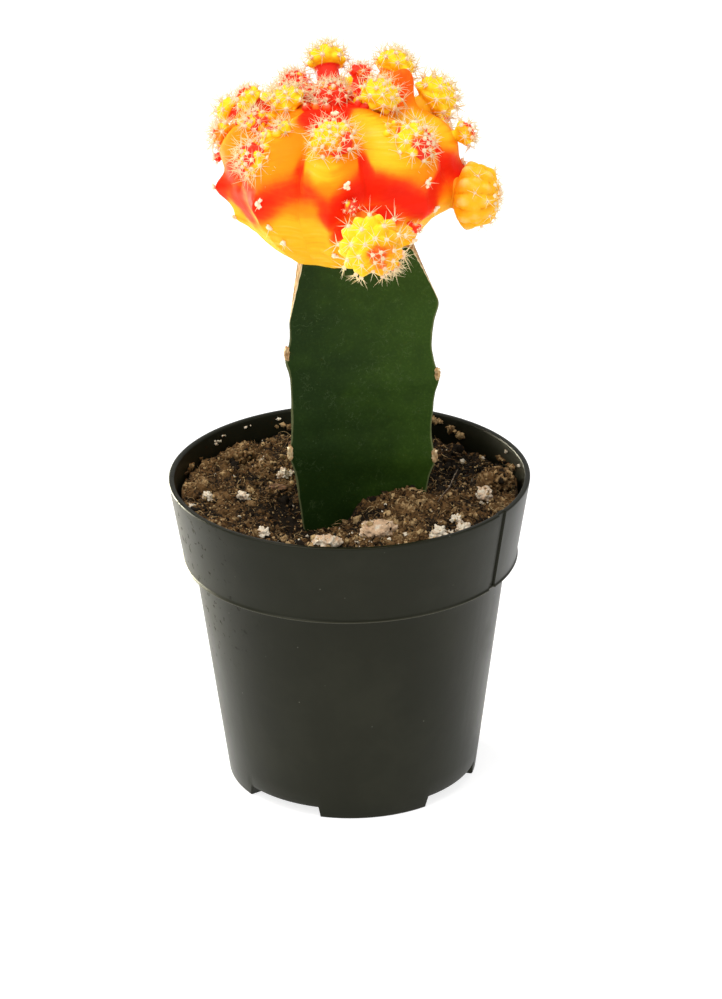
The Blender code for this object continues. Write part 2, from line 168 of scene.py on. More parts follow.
def grid_faces(rows: int, columns: int) -> Array:
    """Quads between the neighbours of a grid whose columns wrap round, facing out if its rows rise.

    Args:
        rows: how many rows of points it has.
        columns: how many points a row has.

    Returns:
        Four indices for each quad.
    """
    index = np.arange(rows * columns).reshape(rows, columns)
    beside = np.roll(index, -1, 1)
    return np.stack([index[:-1], beside[:-1], beside[1:], index[1:]], -1).reshape(-1, 4)


def fan(ring: Array, centre: int) -> Array:
    """Triangles from a closed ring of indices to a centre."""
    return np.stack([np.full(len(ring), centre), ring, np.roll(ring, -1)], -1)


def lofted(rings: Array) -> tuple[Array, list[Array]]:
    """Skins rings of points that rise from row to row, and closes both ends with a fan.

    Args:
        rings: points by row, column and axis.

    Returns:
        The points, with the two end centres last, and the lists of faces.
    """
    rows, columns = rings.shape[:2]
    points = np.concatenate([rings.reshape(-1, 3), [rings[0].mean(0), rings[-1].mean(0)]])
    low, high = rows * columns, rows * columns + 1
    bottom = fan(np.arange(columns)[::-1], low)
    top = fan(np.arange(columns) + (rows - 1) * columns, high)
    return points, [grid_faces(rows, columns), bottom, top]


def ball(subdivisions: int) -> tuple[Array, Array]:
    """Makes a round ball of radius one.

    Args:
        subdivisions: how finely it is divided.

    Returns:
        Its points and its triangles.
    """
    shape = bmesh.new()
    bmesh.ops.create_icosphere(shape, subdivisions=subdivisions, radius=1)
    points = np.array([v.co[:] for v in shape.verts])
    faces = np.array([[v.index for v in f.verts] for f in shape.faces])
    shape.free()
    return points, faces


def random_turns(count: int, chance: Chance) -> Array:
    """Draws rotations that are evenly spread.

    Args:
        count: how many.
        chance: where they are drawn from.

    Returns:
        A matrix for each.
    """
    w, x, y, z = unit(chance.normal(size=(count, 4))).T
    rows = [
        [1 - 2 * (y * y + z * z), 2 * (x * y - w * z), 2 * (x * z + w * y)],
        [2 * (x * y + w * z), 1 - 2 * (x * x + z * z), 2 * (y * z - w * x)],
        [2 * (x * z - w * y), 2 * (y * z + w * x), 1 - 2 * (x * x + y * y)],
    ]
    return np.moveaxis(np.array(rows), 2, 0)


def linked(name: str, mesh: Mesh) -> Piece:
    """Links a mesh to the scene as an object.

    Args:
        name: the object's name.
        mesh: its mesh.

    Returns:
        The object.
    """
    piece = bpy.data.objects.new(name, mesh)
    bpy.context.scene.collection.objects.link(piece)
    return piece


def mesh_from(shape: bmesh.types.BMesh, name: str) -> Mesh:
    """Makes a mesh of an edited shape, and frees the shape.

    Args:
        shape: the shape.
        name: the mesh's name.

    Returns:
        The mesh.
    """
    mesh = bpy.data.meshes.new(name)
    shape.to_mesh(mesh)
    shape.free()
    return mesh


def set_values(mesh: Mesh, name: str, values: Array) -> None:
    """Gives a mesh a named number at each point."""
    layer = mesh.attributes.new(name, "FLOAT", "POINT")
    layer.data.foreach_set("value", values.astype(np.float32))


def settle(piece: Piece, slot: str, *nodes: str) -> Piece:
    """Makes a finished piece part of the object.

    Args:
        piece: the piece, in place.
        slot: the record's material slot that its finish belongs to; not used.
        nodes: the construction nodes that it stands for.

    Returns:
        The same piece.
    """
    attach(piece, BODY)
    if nodes:
        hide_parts(*nodes)
    LOG.info("%s: %d faces", piece.name, len(piece.data.polygons))
    return piece


@dataclass
class MeshSketch:
    """Shapes gathered as arrays, which become one mesh at the end."""

    points: list[Array] = field(default_factory=list)
    faces: list[list[int]] = field(default_factory=list)
    values: dict[str, list[Array]] = field(default_factory=dict)
    count: int = 0

    def add(self, points: Array, *faces: Array, **values: Array | float) -> None:
        """Adds a shape.

        Args:
            points: its points, one in each row.
            faces: its faces, as rows of indices into its points.
            values: by attribute name, a number for each point or one for them all.
        """
        for group in faces:
            self.faces.extend((group + self.count).tolist())
        for name, value in values.items():
            self.values.setdefault(name, []).append(np.broadcast_to(value, len(points)))
        self.points.append(points)
        self.count += len(points)

    def add_copies(self, shape: tuple[Array, Array], points: Array, **values: Array) -> None:
        """Adds many copies of a shape whose points have been moved already.

        Args:
            shape: the points and faces of one copy.
            points: the moved points, by copy, point and axis.
            values: by attribute name, a number for each copy.
        """
        copies, size = points.shape[:2]
        faces = shape[1][None] + (np.arange(copies) * size)[:, None, None]
        spread = {name: np.repeat(value, size) for name, value in values.items()}
        self.add(points.reshape(-1, 3), faces.reshape(-1, shape[1].shape[1]), **spread)

    def piece(self, name: str, material: Material) -> Piece:
        """Makes the mesh, smooth, and links it to the scene.

        Args:
            name: the piece's name.
            material: its material.

        Returns:
            The piece.
        """
        mesh = bpy.data.meshes.new(name)
        mesh.from_pydata(np.concatenate(self.points).tolist(), [], self.faces)
        mesh.materials.append(material)
        for attribute, chunks in self.values.items():
            set_values(mesh, attribute, np.concatenate(chunks))
        mesh.shade_smooth()
        return linked(name, mesh)


def add_strands(sketch: MeshSketch, paths: Array, radii: Array, **values: Array) -> None:
    """Adds thin three-sided strands with closed ends.

    Args:
        sketch: what they are added to.
        paths: the middle line of each, by strand, step and axis.
        radii: their radius, by strand and step.
        values: by attribute name, a number for each strand.
    """
    strands, steps = radii.shape
    across, beside = square_to(unit(paths[:, -1] - paths[:, 0]))
    turns = np.radians([0, 120, 240])
    ring = circle(turns, across[:, None], beside[:, None])
    points = paths[:, :, None] + radii[:, :, None, None] * ring[:, None]
    sides = grid_faces(steps, 3)
    triangles = np.concatenate([sides[:, [0, 1, 2]], sides[:, [0, 2, 3]], [[2, 1, 0]]])
    end = np.array([[0, 1, 2]]) + 3 * (steps - 1)
    shape = (points[0], np.concatenate([triangles, end]))
    sketch.add_copies(shape, points.reshape(strands, -1, 3), **values)


# Finishes


class ShaderGraph:
    """A material's nodes, added and linked by short calls. Patterns are sized in millimetres."""

    def __init__(self, name: str) -> None:
        """Starts a material with its surface shader and the piece's own coordinates.

        Args:
            name: the material's name.
        """
        self.material = bpy.data.materials.new(name)
        self.material.use_nodes = True
        self.tree = self.material.node_tree
        self.surface = self.tree.nodes["Principled BSDF"]
        self.place = self.tree.nodes.new("ShaderNodeTexCoord").outputs["Object"]

    def put(self, socket: Socket, value: object) -> None:
        """Links a socket to another, or sets its number or colour.

        Args:
            socket: the input.
            value: an output to link it to, a number, a vector or a colour.
        """
        if isinstance(value, Socket):
            self.tree.links.new(value, socket)
        elif isinstance(value, tuple) and len(value) == 3 and socket.type == "RGBA":
            socket.default_value = (*value, 1)
        else:
            socket.default_value = value

    def node(self, kind: str, inputs: dict[int | str, object], **settings: object) -> bpy.types.Node:
        """Adds a node.

        Args:
            kind: its type, without the usual beginning.
            inputs: what each input is set or linked to, by index or name.
            settings: the node's own settings.

        Returns:
            The node.
        """
        made = self.tree.nodes.new(f"ShaderNode{kind}")
        for name, value in settings.items():
            setattr(made, name, value)
        for key, value in inputs.items():
            self.put(made.inputs[key], value)
        return made

    def value(self, attribute: str) -> Socket:
        """A number that the mesh carries at each point."""
        return self.node("Attribute", {}, attribute_name=attribute).outputs["Fac"]

    def cloud(self, size: float, detail: float = 3.0, stretch: Triple | None = None) -> Socket:
        """Soft noise from 0 to 1.

        Args:
            size: of its patches, in millimetres.
            detail: how many finer layers it has.
            stretch: how many times larger it is along each axis.

        Returns:
            The socket that carries it.
        """
        place = self.place
        if stretch:
            scale = tuple(1 / share for share in stretch)
            place = self.node("Mapping", {"Vector": place, "Scale": scale}).outputs[0]
        inputs = {"Vector": place, "Scale": 1000 / size, "Detail": detail, "Roughness": 0.6}
        return self.node("TexNoise", inputs).outputs[0]

    def cells(self, size: float, feature: str = "F1") -> Socket:
        """The distance from the middle of cells of this size, in millimetres."""
        inputs = {"Vector": self.place, "Scale": 1000 / size}
        return self.node("TexVoronoi", inputs, feature=feature).outputs["Distance"]

    def streaks(self, *attributes: str) -> Socket:
        """Noise from 0 to 1, laid out along numbers that the mesh carries.

        Args:
            attributes: the names of the three numbers.

        Returns:
            The socket that carries it.
        """
        inputs = dict(enumerate(self.value(name) for name in attributes))
        place = self.node("CombineXYZ", inputs).outputs[0]
        return self.node("TexNoise", {"Vector": place, "Scale": 1.0, "Detail": 3.0}).outputs[0]

    def sum(self, first: object, second: object, operation: str = "ADD") -> Socket:
        """Adds two numbers, or combines them by another operation."""
        return self.node("Math", {0: first, 1: second}, operation=operation).outputs[0]

    def times(self, first: object, second: object) -> Socket:
        """Multiplies two numbers."""
        return self.sum(first, second, "MULTIPLY")

    def swing(self, size: float, detail: float = 3.0) -> Socket:
        """Soft noise from -0.5 to 0.5, in patches of this size."""
        return self.sum(self.cloud(size, detail), 0.5, "SUBTRACT")

    def step(self, value: Socket, low: float, high: float) -> Socket:
        """Steps smoothly from 0 to 1.

        Args:
            value: the number that the step follows.
            low: where it is 0. It may be the larger of the two.
            high: where it is 1.

        Returns:
            The socket that carries it.
        """
        inputs = {"Value": value, "From Min": low, "From Max": high}
        if low > high:
            inputs |= {"From Min": high, "From Max": low, "To Min": 1.0, "To Max": 0.0}
        return self.node("MapRange", inputs, interpolation_type="SMOOTHSTEP").outputs[0]

    def blend(self, share: object, first: object, second: object, mode: str = "MIX") -> Socket:
        """The first colour where the share is 0 and the second where it is 1."""
        made = self.node("Mix", {0: share, 6: first, 7: second}, data_type="RGBA", blend_type=mode)
        return made.outputs[2]

    def relief(self, *layers: tuple[Socket, float]) -> None:
        """Bumps on the surface.

        Args:
            layers: heights from 0 to 1, each with how far it rises in millimetres.
        """
        normal = None
        for height, rise in layers:
            inputs = {"Height": height, "Distance": rise * MM, "Strength": 1.0}
            if normal:
                inputs["Normal"] = normal
            normal = self.node("Bump", inputs).outputs[0]
        self.put(self.surface.inputs["Normal"], normal)

    def finish(self, colour: object, roughness: object, **surface: object) -> Material:
        """Sets the surface.

        Args:
            colour: a colour or a socket that carries one.
            roughness: a number or a socket that carries one.
            surface: other inputs of the shader, with _ for each space in a name.

        Returns:
            The material.
        """
        self.put(self.surface.inputs["Base Color"], colour)
        self.put(self.surface.inputs["Roughness"], roughness)
        for name, value in surface.items():
            self.put(self.surface.inputs[name.replace("_", " ")], value)
        return self.material


@dataclass(frozen=True)
class BlackPlastic:
    """Moulded polypropylene: dull bloom, dark worn blots, dust specks, a painted highlight at the
    collar's edge.
    """

    base: Colour = (0.0072, 0.0078, 0.0036)
    bloom: Colour = (0.0120, 0.0126, 0.0068)
    blot: Colour = (0.0040, 0.0040, 0.0030)
    dust: Colour = (0.130, 0.125, 0.100)
    edge_highlight: Colour = (0.060, 0.058, 0.040)

    def material(self) -> Material:
        """Makes the material. The mesh carries worn, and the share of the painted highlight line, from 0
        to 1.

        Returns:
            The material.
        """
        graph = ShaderGraph("black_plastic")
        patches = graph.step(graph.cloud(16, 4), 0.40, 0.70)
        colour = graph.blend(patches, self.base, self.bloom)
        blots = graph.times(graph.step(graph.cloud(1.5, 4), 0.59, 0.68), graph.value("worn"))
        colour = graph.blend(graph.times(blots, 0.5), colour, self.blot)
        # painted highlight: a paler line just above the collar's lower edge
        colour = graph.blend(graph.times(graph.value("ridge"), 0.75), colour, self.edge_highlight)
        dusty = graph.step(graph.cloud(7), 0.5, 0.6)
        specks = graph.times(graph.step(graph.cells(2.6), 0.060, 0.035), dusty)
        colour = graph.blend(graph.times(specks, 0.6), colour, self.dust)
        graph.relief((graph.cloud(0.5, 2), 0.006), (graph.cloud(6, 2), 0.04))
        dull = graph.sum(graph.times(patches, 0.08), graph.times(blots, 0.55))
        surface = {"Specular_IOR_Level": 0.17, "Specular_Tint": (1.0, 0.99, 0.84)}
        return graph.finish(colour, graph.sum(dull, 0.33), **surface)


@dataclass(frozen=True)
class Peat:
    """Damp fibrous peat, dark to tan by its tone, which holds painted shade: dark in hollows, tan on
    crumbs.
    """

    dark: Colour = (0.0085, 0.0050, 0.0016)
    brown: Colour = (0.126, 0.066, 0.022)
    tan: Colour = (0.500, 0.345, 0.165)

    def material(self) -> Material:
        """Makes the material. The mesh carries tone, from 0 for dark to 1 for tan.

        Returns:
            The material.
        """
        graph = ShaderGraph("peat")
        grain = graph.sum(graph.cloud(0.55, 4), 0.55, "SUBTRACT")
        tone = graph.sum(graph.value("tone"), graph.times(grain, 1.5))
        colour = graph.blend(graph.step(tone, 0.0, 0.45), self.dark, self.brown)
        colour = graph.blend(graph.step(tone, 0.45, 1.1), colour, self.tan)
        graph.relief((graph.cloud(0.35, 4), 0.2))
        return graph.finish(colour, 0.88, Specular_IOR_Level=0.2)


@dataclass(frozen=True)
class Chalk:
    """Expanded mineral grains, chalky and pitted, stained by the mix."""

    pale: Colour = (0.76, 0.68, 0.53)
    stain: Colour = (0.54, 0.34, 0.19)
    pit: Colour = (0.30, 0.19, 0.11)

    def material(self) -> Material:
        """Makes the material. The mesh carries stain, from 0 for clean to 1 for soaked.

        Returns:
            The material.
        """
        graph = ShaderGraph("chalk")
        reach = graph.sum(graph.cloud(1.2, 5), graph.times(graph.value("stain"), 0.25))
        stained = graph.step(reach, 0.50, 0.74)
        colour = graph.blend(graph.times(stained, 0.85), self.pale, self.stain)
        pits = graph.step(graph.cells(0.55), 0.22, 0.08)
        colour = graph.blend(graph.times(pits, 0.4), colour, self.pit)
        graph.relief((graph.cells(0.5), 0.2), (graph.cloud(0.25), 0.08))
        return graph.finish(colour, 0.9)


@dataclass(frozen=True)
class Bark:
    """Bark and dry wood with long fibres."""

    name: str = "bark"
    dark: Colour = (0.050, 0.022, 0.009)
    light: Colour = (0.290, 0.145, 0.062)

    def material(self) -> Material:
        """Makes the material.

        Returns:
            The material.
        """
        graph = ShaderGraph(self.name)
        fibres = graph.cloud(0.3, 4, (5, 1, 1))
        colour = graph.blend(graph.step(fibres, 0.35, 0.65), self.dark, self.light)
        graph.relief((fibres, 0.12))
        return graph.finish(colour, 0.85)


@dataclass(frozen=True)
class StemSkin:
    """Waxy green skin with painted light on its right, horny rib edges, corky pads and dried pared faces.
    """

    deep: Colour = (0.0085, 0.0230, 0.0036)
    fresh: Colour = (0.0250, 0.0570, 0.0062)
    fleck: Colour = (0.120, 0.170, 0.075)
    cork: Colour = (0.640, 0.420, 0.210)
    bark: Colour = (0.260, 0.150, 0.065)
    rim: Colour = (0.720, 0.620, 0.380)
    horn: Colour = (0.220, 0.230, 0.110)
    sheen: Colour = (1.45, 1.35, 1.50)

    def material(self) -> Material:
        """Makes the material. The mesh carries the painted light's share, edge and pad from 0 to 1, and
        proud in mm.

        Returns:
            The material.
        """
        graph = ShaderGraph("stem_skin")
        mottle = graph.swing(6, 4)
        # painted light: deep green turns lighter green by the lit side's share, with mottle
        fresh = graph.sum(graph.value("fresh"), graph.times(mottle, 1.2))
        colour = graph.blend(graph.step(fresh, 0.0, 1.0), self.deep, self.fresh)
        fine = graph.cloud(0.45, 4)
        colour = graph.blend(graph.step(fine, 0.45, 0.75), colour, self.sheen, "MULTIPLY")
        scarred = graph.step(graph.cloud(3), 0.46, 0.6)
        scars = graph.times(graph.step(graph.cells(0.9), 0.17, 0.06), scarred)
        scratch = graph.sum(graph.swing(2.2, 5), 0.0, "ABSOLUTE")
        scratched = graph.step(graph.cloud(4.5), 0.52, 0.62)
        scratch = graph.times(graph.step(scratch, 0.012, 0.002), scratched)
        marks = graph.times(graph.sum(scars, scratch, "MAXIMUM"), 0.24)
        colour = graph.blend(marks, colour, self.fleck)
        edge = graph.sum(graph.value("edge"), graph.times(mottle, 0.35))
        colour = graph.blend(graph.times(graph.step(edge, 0.86, 0.97), 0.5), colour, self.horn)
        grain = graph.step(graph.cloud(0.55, 4, (1, 1, 2.5)), 0.36, 0.64)
        cork = graph.blend(grain, self.bark, self.cork)
        proud = graph.sum(graph.value("proud"), graph.times(graph.cloud(1.2), 0.12))
        colour = graph.blend(graph.step(proud, -0.06, 0.02), colour, self.rim)
        colour = graph.blend(graph.step(proud, 0.24, 0.42), colour, cork)
        pad = graph.value("pad")
        colour = graph.blend(graph.step(pad, 0.35, 0.6), colour, cork)
        pale = graph.sum(pad, graph.swing(1.4, 3))
        colour = graph.blend(graph.step(pale, 0.95, 1.30), colour, self.rim)
        graph.relief((graph.cloud(0.8, 4), 0.03), (fine, 0.015))
        dry = graph.sum(graph.step(proud, -0.1, 0.2), graph.step(pad, 0.35, 0.6), "MAXIMUM")
        dull = graph.sum(graph.times(dry, 0.35), graph.times(graph.cloud(3), 0.2))
        surface = {"Specular_IOR_Level": 0.13, "Specular_Tint": (0.9, 1.0, 0.6)}
        return graph.finish(colour, graph.sum(dull, 0.38), **surface)


@dataclass(frozen=True)
class ScionSkin:
    """Skin without leaf green: orange bulges with painted yellow highlights, a red girdle and grooves, a
    yellow keel.
    """

    orange: Colour = (0.96, 0.265, 0.0030)
    yellow: Colour = (0.98, 0.480, 0.0120)
    pale: Colour = (1.00, 0.580, 0.0600)
    red: Colour = (0.88, 0.0170, 0.0018)
    scarlet: Colour = (0.94, 0.0650, 0.0040)
    rose: Colour = (0.90, 0.0700, 0.0250)

    def material(self) -> Material:
        """Makes the material. The mesh carries red, yellow, rose and where its streaks run.

        Returns:
            The material.
        """
        graph = ShaderGraph("scion_skin")
        soft = graph.swing(5, 3)
        fine = graph.swing(1.1, 4)
        band = graph.streaks("across", "along", "rib")
        streak = graph.sum(band, 0.5, "SUBTRACT")
        contrast = graph.sum(graph.times(graph.value("yellow"), 1.1), 0.45)
        yellow = graph.sum(graph.value("yellow"), graph.times(streak, contrast))
        yellow = graph.sum(yellow, graph.times(soft, 0.8))
        colour = graph.blend(graph.step(yellow, 0.05, 0.80), self.orange, self.yellow)
        colour = graph.blend(graph.step(yellow, 0.75, 1.35), colour, self.pale)
        red = graph.sum(graph.value("red"), graph.times(soft, 0.5))
        red = graph.sum(red, graph.times(streak, 0.3))
        red = graph.sum(red, graph.times(fine, 0.15))
        tint = graph.blend(graph.value("rose"), self.red, self.rose)
        colour = graph.blend(graph.step(red, 0.0, 0.70), colour, self.scarlet)
        colour = graph.blend(graph.step(red, 0.40, 1.05), colour, tint)
        graph.relief((band, 0.10), (graph.cloud(1.6, 3), 0.04), (graph.cloud(0.3, 2), 0.010))
        surface = {"Specular_IOR_Level": 0.09, "Subsurface_Weight": 0.2, "Subsurface_Scale": 1.4 * MM}
        surface["Subsurface_Radius"] = (1.0, 0.30, 0.08)
        return graph.finish(colour, graph.sum(graph.times(fine, 0.3), 0.62), **surface)


@dataclass(frozen=True)
class PlantletSkin:
    """Skin of the offsets: yellow or amber flesh, red tubercles among it, painted shade in grooves,
    highlight on tips.
    """

    groove: Colour = (0.96, 0.500, 0.0040)
    flesh: Colour = (0.97, 0.680, 0.0160)
    tip: Colour = (1.00, 0.800, 0.1900)
    red_groove: Colour = (0.72, 0.0140, 0.0060)
    red_flesh: Colour = (0.90, 0.0420, 0.0150)
    red_tip: Colour = (0.95, 0.2000, 0.1100)
    amber: Colour = (0.97, 0.68, 0.60)

    def material(self) -> Material:
        """Makes the material. The mesh carries rise, red and amber, from 0 to 1.

        Returns:
            The material.
        """
        graph = ShaderGraph("plantlet_skin")
        fine = graph.swing(1.0, 3)
        rise = graph.sum(graph.value("rise"), graph.times(fine, 0.35))
        # painted shade and highlight: darker in the grooves and paler on the tips, by how far the skin
        # rises
        low, high = graph.step(rise, 0.0, 0.42), graph.step(rise, 0.62, 1.0)
        yellow = graph.blend(high, graph.blend(low, self.groove, self.flesh), self.tip)
        yellow = graph.blend(graph.value("amber"), yellow, self.amber, "MULTIPLY")
        red = graph.blend(high, graph.blend(low, self.red_groove, self.red_flesh), self.red_tip)
        share = graph.sum(graph.value("red"), graph.times(fine, 0.5))
        colour = graph.blend(graph.step(share, 0.15, 0.85), yellow, red)
        graph.relief((graph.cloud(0.5, 3), 0.03))
        surface = {"Specular_IOR_Level": 0.14, "Subsurface_Weight": 0.2, "Subsurface_Scale": 0.8 * MM}
        surface["Subsurface_Radius"] = (1.0, 0.45, 0.10)
        return graph.finish(colour, 0.45, **surface)


@dataclass(frozen=True)
class SpineAndWool:
    """Straw spines, paler at the root, and the cream wool that they grow from."""

    wool: Colour = (1.00, 0.840, 0.600)
    blush: Colour = (0.95, 0.480, 0.340)
    straw: Colour = (0.94, 0.800, 0.480)

    def material(self) -> Material:
        """Makes the material. The mesh carries wool and blush, from 0 to 1.

        Returns:
            The material.
        """
        graph = ShaderGraph("spine_and_wool")
        grain = graph.step(graph.cloud(0.35, 3), 0.35, 0.65)
        wool = graph.blend(graph.times(graph.value("blush"), grain), self.wool, self.blush)
        colour = graph.blend(graph.value("wool"), self.straw, wool)
        graph.relief((graph.cloud(0.15, 2), 0.05))
        return graph.finish(colour, 0.6, Specular_IOR_Level=0.2)


@dataclass(frozen=True)
class StudioPaper:
    """The pale floor, with a glow that keeps it as bright as the backdrop."""

    tone: Colour = (0.50, 0.50, 0.495)
    patch: Colour = (0.49, 0.49, 0.485)
    glow: float = 0.75

    def material(self) -> Material:
        """Makes the material.

        Returns:
            The material.
        """
        graph = ShaderGraph("studio_paper")
        shade = graph.blend(graph.cloud(60, 2), self.tone, self.patch)
        surface = {"Emission_Color": (1.0, 1.0, 1.0), "Emission_Strength": self.glow}
        return graph.finish(shade, 0.9, Specular_IOR_Level=0.1, **surface)


# The pot


@dataclass
class Pot:
    """A round nursery pot: lip, deep collar with an upright groove, tapered wall and four feet.

    The step is how far below and above the collar's lower edge the inside turns. The drafts are half
    the degrees that a side of a foot gap and of the groove slopes over. Worn holds the middle and the
    spread of the worn patch, in degrees. The field after the worn rise holds the middle and the spread
    of a painted highlight line just above the collar's lower edge.
    """

    rim_radius: float
    height: float
    lip_width: float = 1.05 * MM
    collar_depth: float = 15.0 * MM
    collar_foot_radius: float = 29.4 * MM
    wall_top_radius: float = 27.6 * MM
    base_radius: float = 22.2 * MM
    wall: float = 1.1 * MM
    edge: float = 0.35 * MM
    bead: float = 0.22 * MM
    foot_height: float = 2.0 * MM
    foot_width: float = 2.8 * MM
    floor: float = 1.2 * MM
    feet: int = 4
    foot_azimuth: float = 10.5
    foot_gap: float = 39.0
    slot: tuple[float, float] = (9.0 * MM, 2.6 * MM)
    slot_radius: float = 18.0 * MM
    groove_azimuth: float = 56.1
    groove_width: float = 3.7
    groove_depth: float = 0.35 * MM
    step: tuple[float, float] = (1.0 * MM, 1.2 * MM)
    drafts: tuple[float, float] = (0.9, 0.12)
    clearance: float = 0.6
    worn: tuple[float, float] = (-62.0, 24.0)
    worn_rise: tuple[float, float] = (22 * MM, 38 * MM)
    # painted highlight line: its middle and spread above the collar's lower edge
    edge_highlight: tuple[float, float] = (0.12 * MM, 0.16 * MM)
    longest_run: float = 2.5 * MM
    pinhole: float = 0.05 * MM
    sharp_angle: float = 38.0
    columns: int = 216

    @classmethod
    def from_frame(cls) -> "Pot":
        """The pot at the size that its construction node has."""
        low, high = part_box("pot")
        return cls(rim_radius=(high.x - low.x) / 2, height=high.z)

    @property
    def collar_bottom(self) -> float:
        """The height of the collar's lower edge."""
        return self.height - self.collar_depth

    def wall_radius(self, height: float) -> float:
        """The outer radius of the tapered wall below the collar."""
        share = height / self.collar_bottom
        return self.base_radius + share * (self.wall_top_radius - self.base_radius)

    def outline(self) -> list[tuple[float, float]]:
        """The section: up the outside, over the lip and down inside.

        Returns:
            Its corners as (radius, height).
        """
        floor_top = self.foot_height + self.floor
        step_low, step_high = self.collar_bottom - self.step[0], self.collar_bottom + self.step[1]
        return [
            (0, self.foot_height),
            (self.base_radius - self.foot_width, self.foot_height),
            (self.base_radius - self.foot_width, 0),
            (self.base_radius, 0),
            (self.wall_top_radius, self.collar_bottom),
            (self.collar_foot_radius + self.bead, self.collar_bottom),
            (self.collar_foot_radius + self.bead, self.collar_bottom + 1.3 * self.bead),
            (self.collar_foot_radius, self.collar_bottom + 2.4 * self.bead),
            (self.rim_radius, self.height),
            (self.rim_radius - self.lip_width, self.height),
            (self.collar_foot_radius - self.lip_width + self.edge, step_high),
            (self.wall_radius(step_low) - self.wall, step_low),
            (self.wall_radius(floor_top) - self.wall, floor_top),
            (0, floor_top),
        ]

    def rounded_outline(self, steps: int = 4) -> Array:
        """The outline with each corner rounded, and long runs divided.

        Args:
            steps: how many points a corner gets past its first.

        Returns:
            The (radius, height) points.
        """
        corners = np.array(self.outline())
        line = [corners[0]]
        for before, corner, after in zip(corners, corners[1:], corners[2:]):
            start = corner + (before - corner) * min(0.45, self.edge / math.dist(before, corner))
            end = corner + (after - corner) * min(0.45, self.edge / math.dist(after, corner))
            runs = max(1, round(math.dist(line[-1], start) / self.longest_run))
            first = line[-1]
            line += [first + (start - first) * i / runs for i in range(1, runs + 1)]
            for i in range(1, steps + 1):
                t = i / steps
                line.append(start * (1 - t) ** 2 + corner * 2 * t * (1 - t) + end * t * t)
        line.append(corners[-1])
        return np.array(line)

    def azimuths(self) -> Array:
        """Spaces the columns, with extra ones at the sides of the foot gaps and the groove.

        Returns:
            The azimuth of each column.
        """
        even = np.arange(self.columns) * 360 / self.columns
        gap_draft, groove_draft = self.drafts
        cuts = [(self.groove_azimuth, self.groove_width / 2, groove_draft)]
        for i in range(self.feet):
            middle = self.foot_azimuth + (i + 0.5) * 360 / self.feet
            cuts.append((middle, self.foot_gap / 2, gap_draft))
        extra = []
        for middle, half, draft in cuts:
            for edge in (middle - half, middle + half):
                extra += [edge - draft, edge + draft]
        extra = np.mod(extra, 360)
        clear = np.abs(turned(even[:, None], extra[None])).min(1) > self.clearance
        return np.sort(np.concatenate([even[clear], extra]))

    def rings(self) -> Array:
        """The rings of points that the pot is skinned from, with its gaps and groove.

        Returns:
            The points by ring, column and axis.
        """
        azimuth = self.azimuths()
        line = self.rounded_outline()
        line[[0, -1], 0] = self.pinhole
        radius = np.repeat(line[:, :1], len(azimuth), 1)
        height = np.repeat(line[:, 1:], len(azimuth), 1)
        pitch = 360 / self.feet
        off_foot = np.abs((azimuth - self.foot_azimuth + pitch / 2) % pitch - pitch / 2)
        in_gap = off_foot > (pitch - self.foot_gap) / 2
        height = np.where(in_gap[None], np.maximum(height, self.foot_height), height)
        outside = np.arange(len(line)) < np.argmax(line[:, 1]) + 2
        on_collar = outside & (line[:, 1] > self.collar_bottom - self.edge)
        in_groove = np.abs(azimuth - self.groove_azimuth) < self.groove_width / 2
        cut = on_collar[:, None] & in_groove[None] & (radius > self.collar_foot_radius - self.edge)
        radius = radius - self.groove_depth * cut
        return np.concatenate([plan(radius, np.radians(azimuth)[None]), height[..., None]], -1)

    def drain_slots(self) -> Piece:
        """Makes a cutter for the slots in the floor, one between each two feet.

        Returns:
            The cutter.
        """
        shape = bmesh.new()
        for i in range(self.feet):
            turn = math.radians(self.foot_azimuth + (i + 0.5) * 360 / self.feet)
            made = bmesh.ops.create_cube(shape, size=1)["verts"]
            bmesh.ops.scale(shape, vec=(*self.slot, 4 * self.floor), verts=made)
            shift = (0, -self.slot_radius, self.foot_height + self.floor / 2)
            bmesh.ops.translate(shape, vec=shift, verts=made)
            bmesh.ops.rotate(shape, matrix=Matrix.Rotation(turn, 3, "Z"), verts=made)
        return linked("drain_slots", mesh_from(shape, "drain_slots"))

    def build(self) -> None:
        """Makes the pot."""
        sketch = MeshSketch()
        points, faces = lofted(self.rings())
        azimuth = np.degrees(np.arctan2(points[:, 0], -points[:, 1]))
        worn = hump(azimuth, *self.worn) * eased(points[:, 2], *self.worn_rise)
        radius = np.hypot(points[:, 0], points[:, 1])
        outside = radius > (self.wall_top_radius + self.collar_foot_radius) / 2
        # painted highlight line on the outside, just above the collar's lower edge
        low = hump(points[:, 2] - self.collar_bottom, *self.edge_highlight)
        sketch.add(points, *faces, worn=worn, ridge=low * outside)
        piece = sketch.piece("nursery_pot", BlackPlastic().material())
        cutter = self.drain_slots()
        cut = piece.modifiers.new("Slots", "BOOLEAN")
        cut.operation, cut.object, cut.solver = "DIFFERENCE", cutter, "EXACT"
        evaluated = piece.evaluated_get(bpy.context.evaluated_depsgraph_get())
        mesh = bpy.data.meshes.new_from_object(evaluated)
        piece.modifiers.clear()
        piece.data = mesh
        bpy.data.objects.remove(cutter)
        mesh.shade_smooth()
        mesh.set_sharp_from_angle(angle=math.radians(self.sharp_angle))
        settle(piece, "pot_plastic", "pot")


# The potting mix


@dataclass(frozen=True)
class WallString:
    """A string of bits on the inside of the pot: the azimuth and rise of both its ends, and its count.

    The rises are above the mix, in millimetres.
    """

    azimuth: float
    rise: float
    last_azimuth: float
    last_rise: float
    count: int


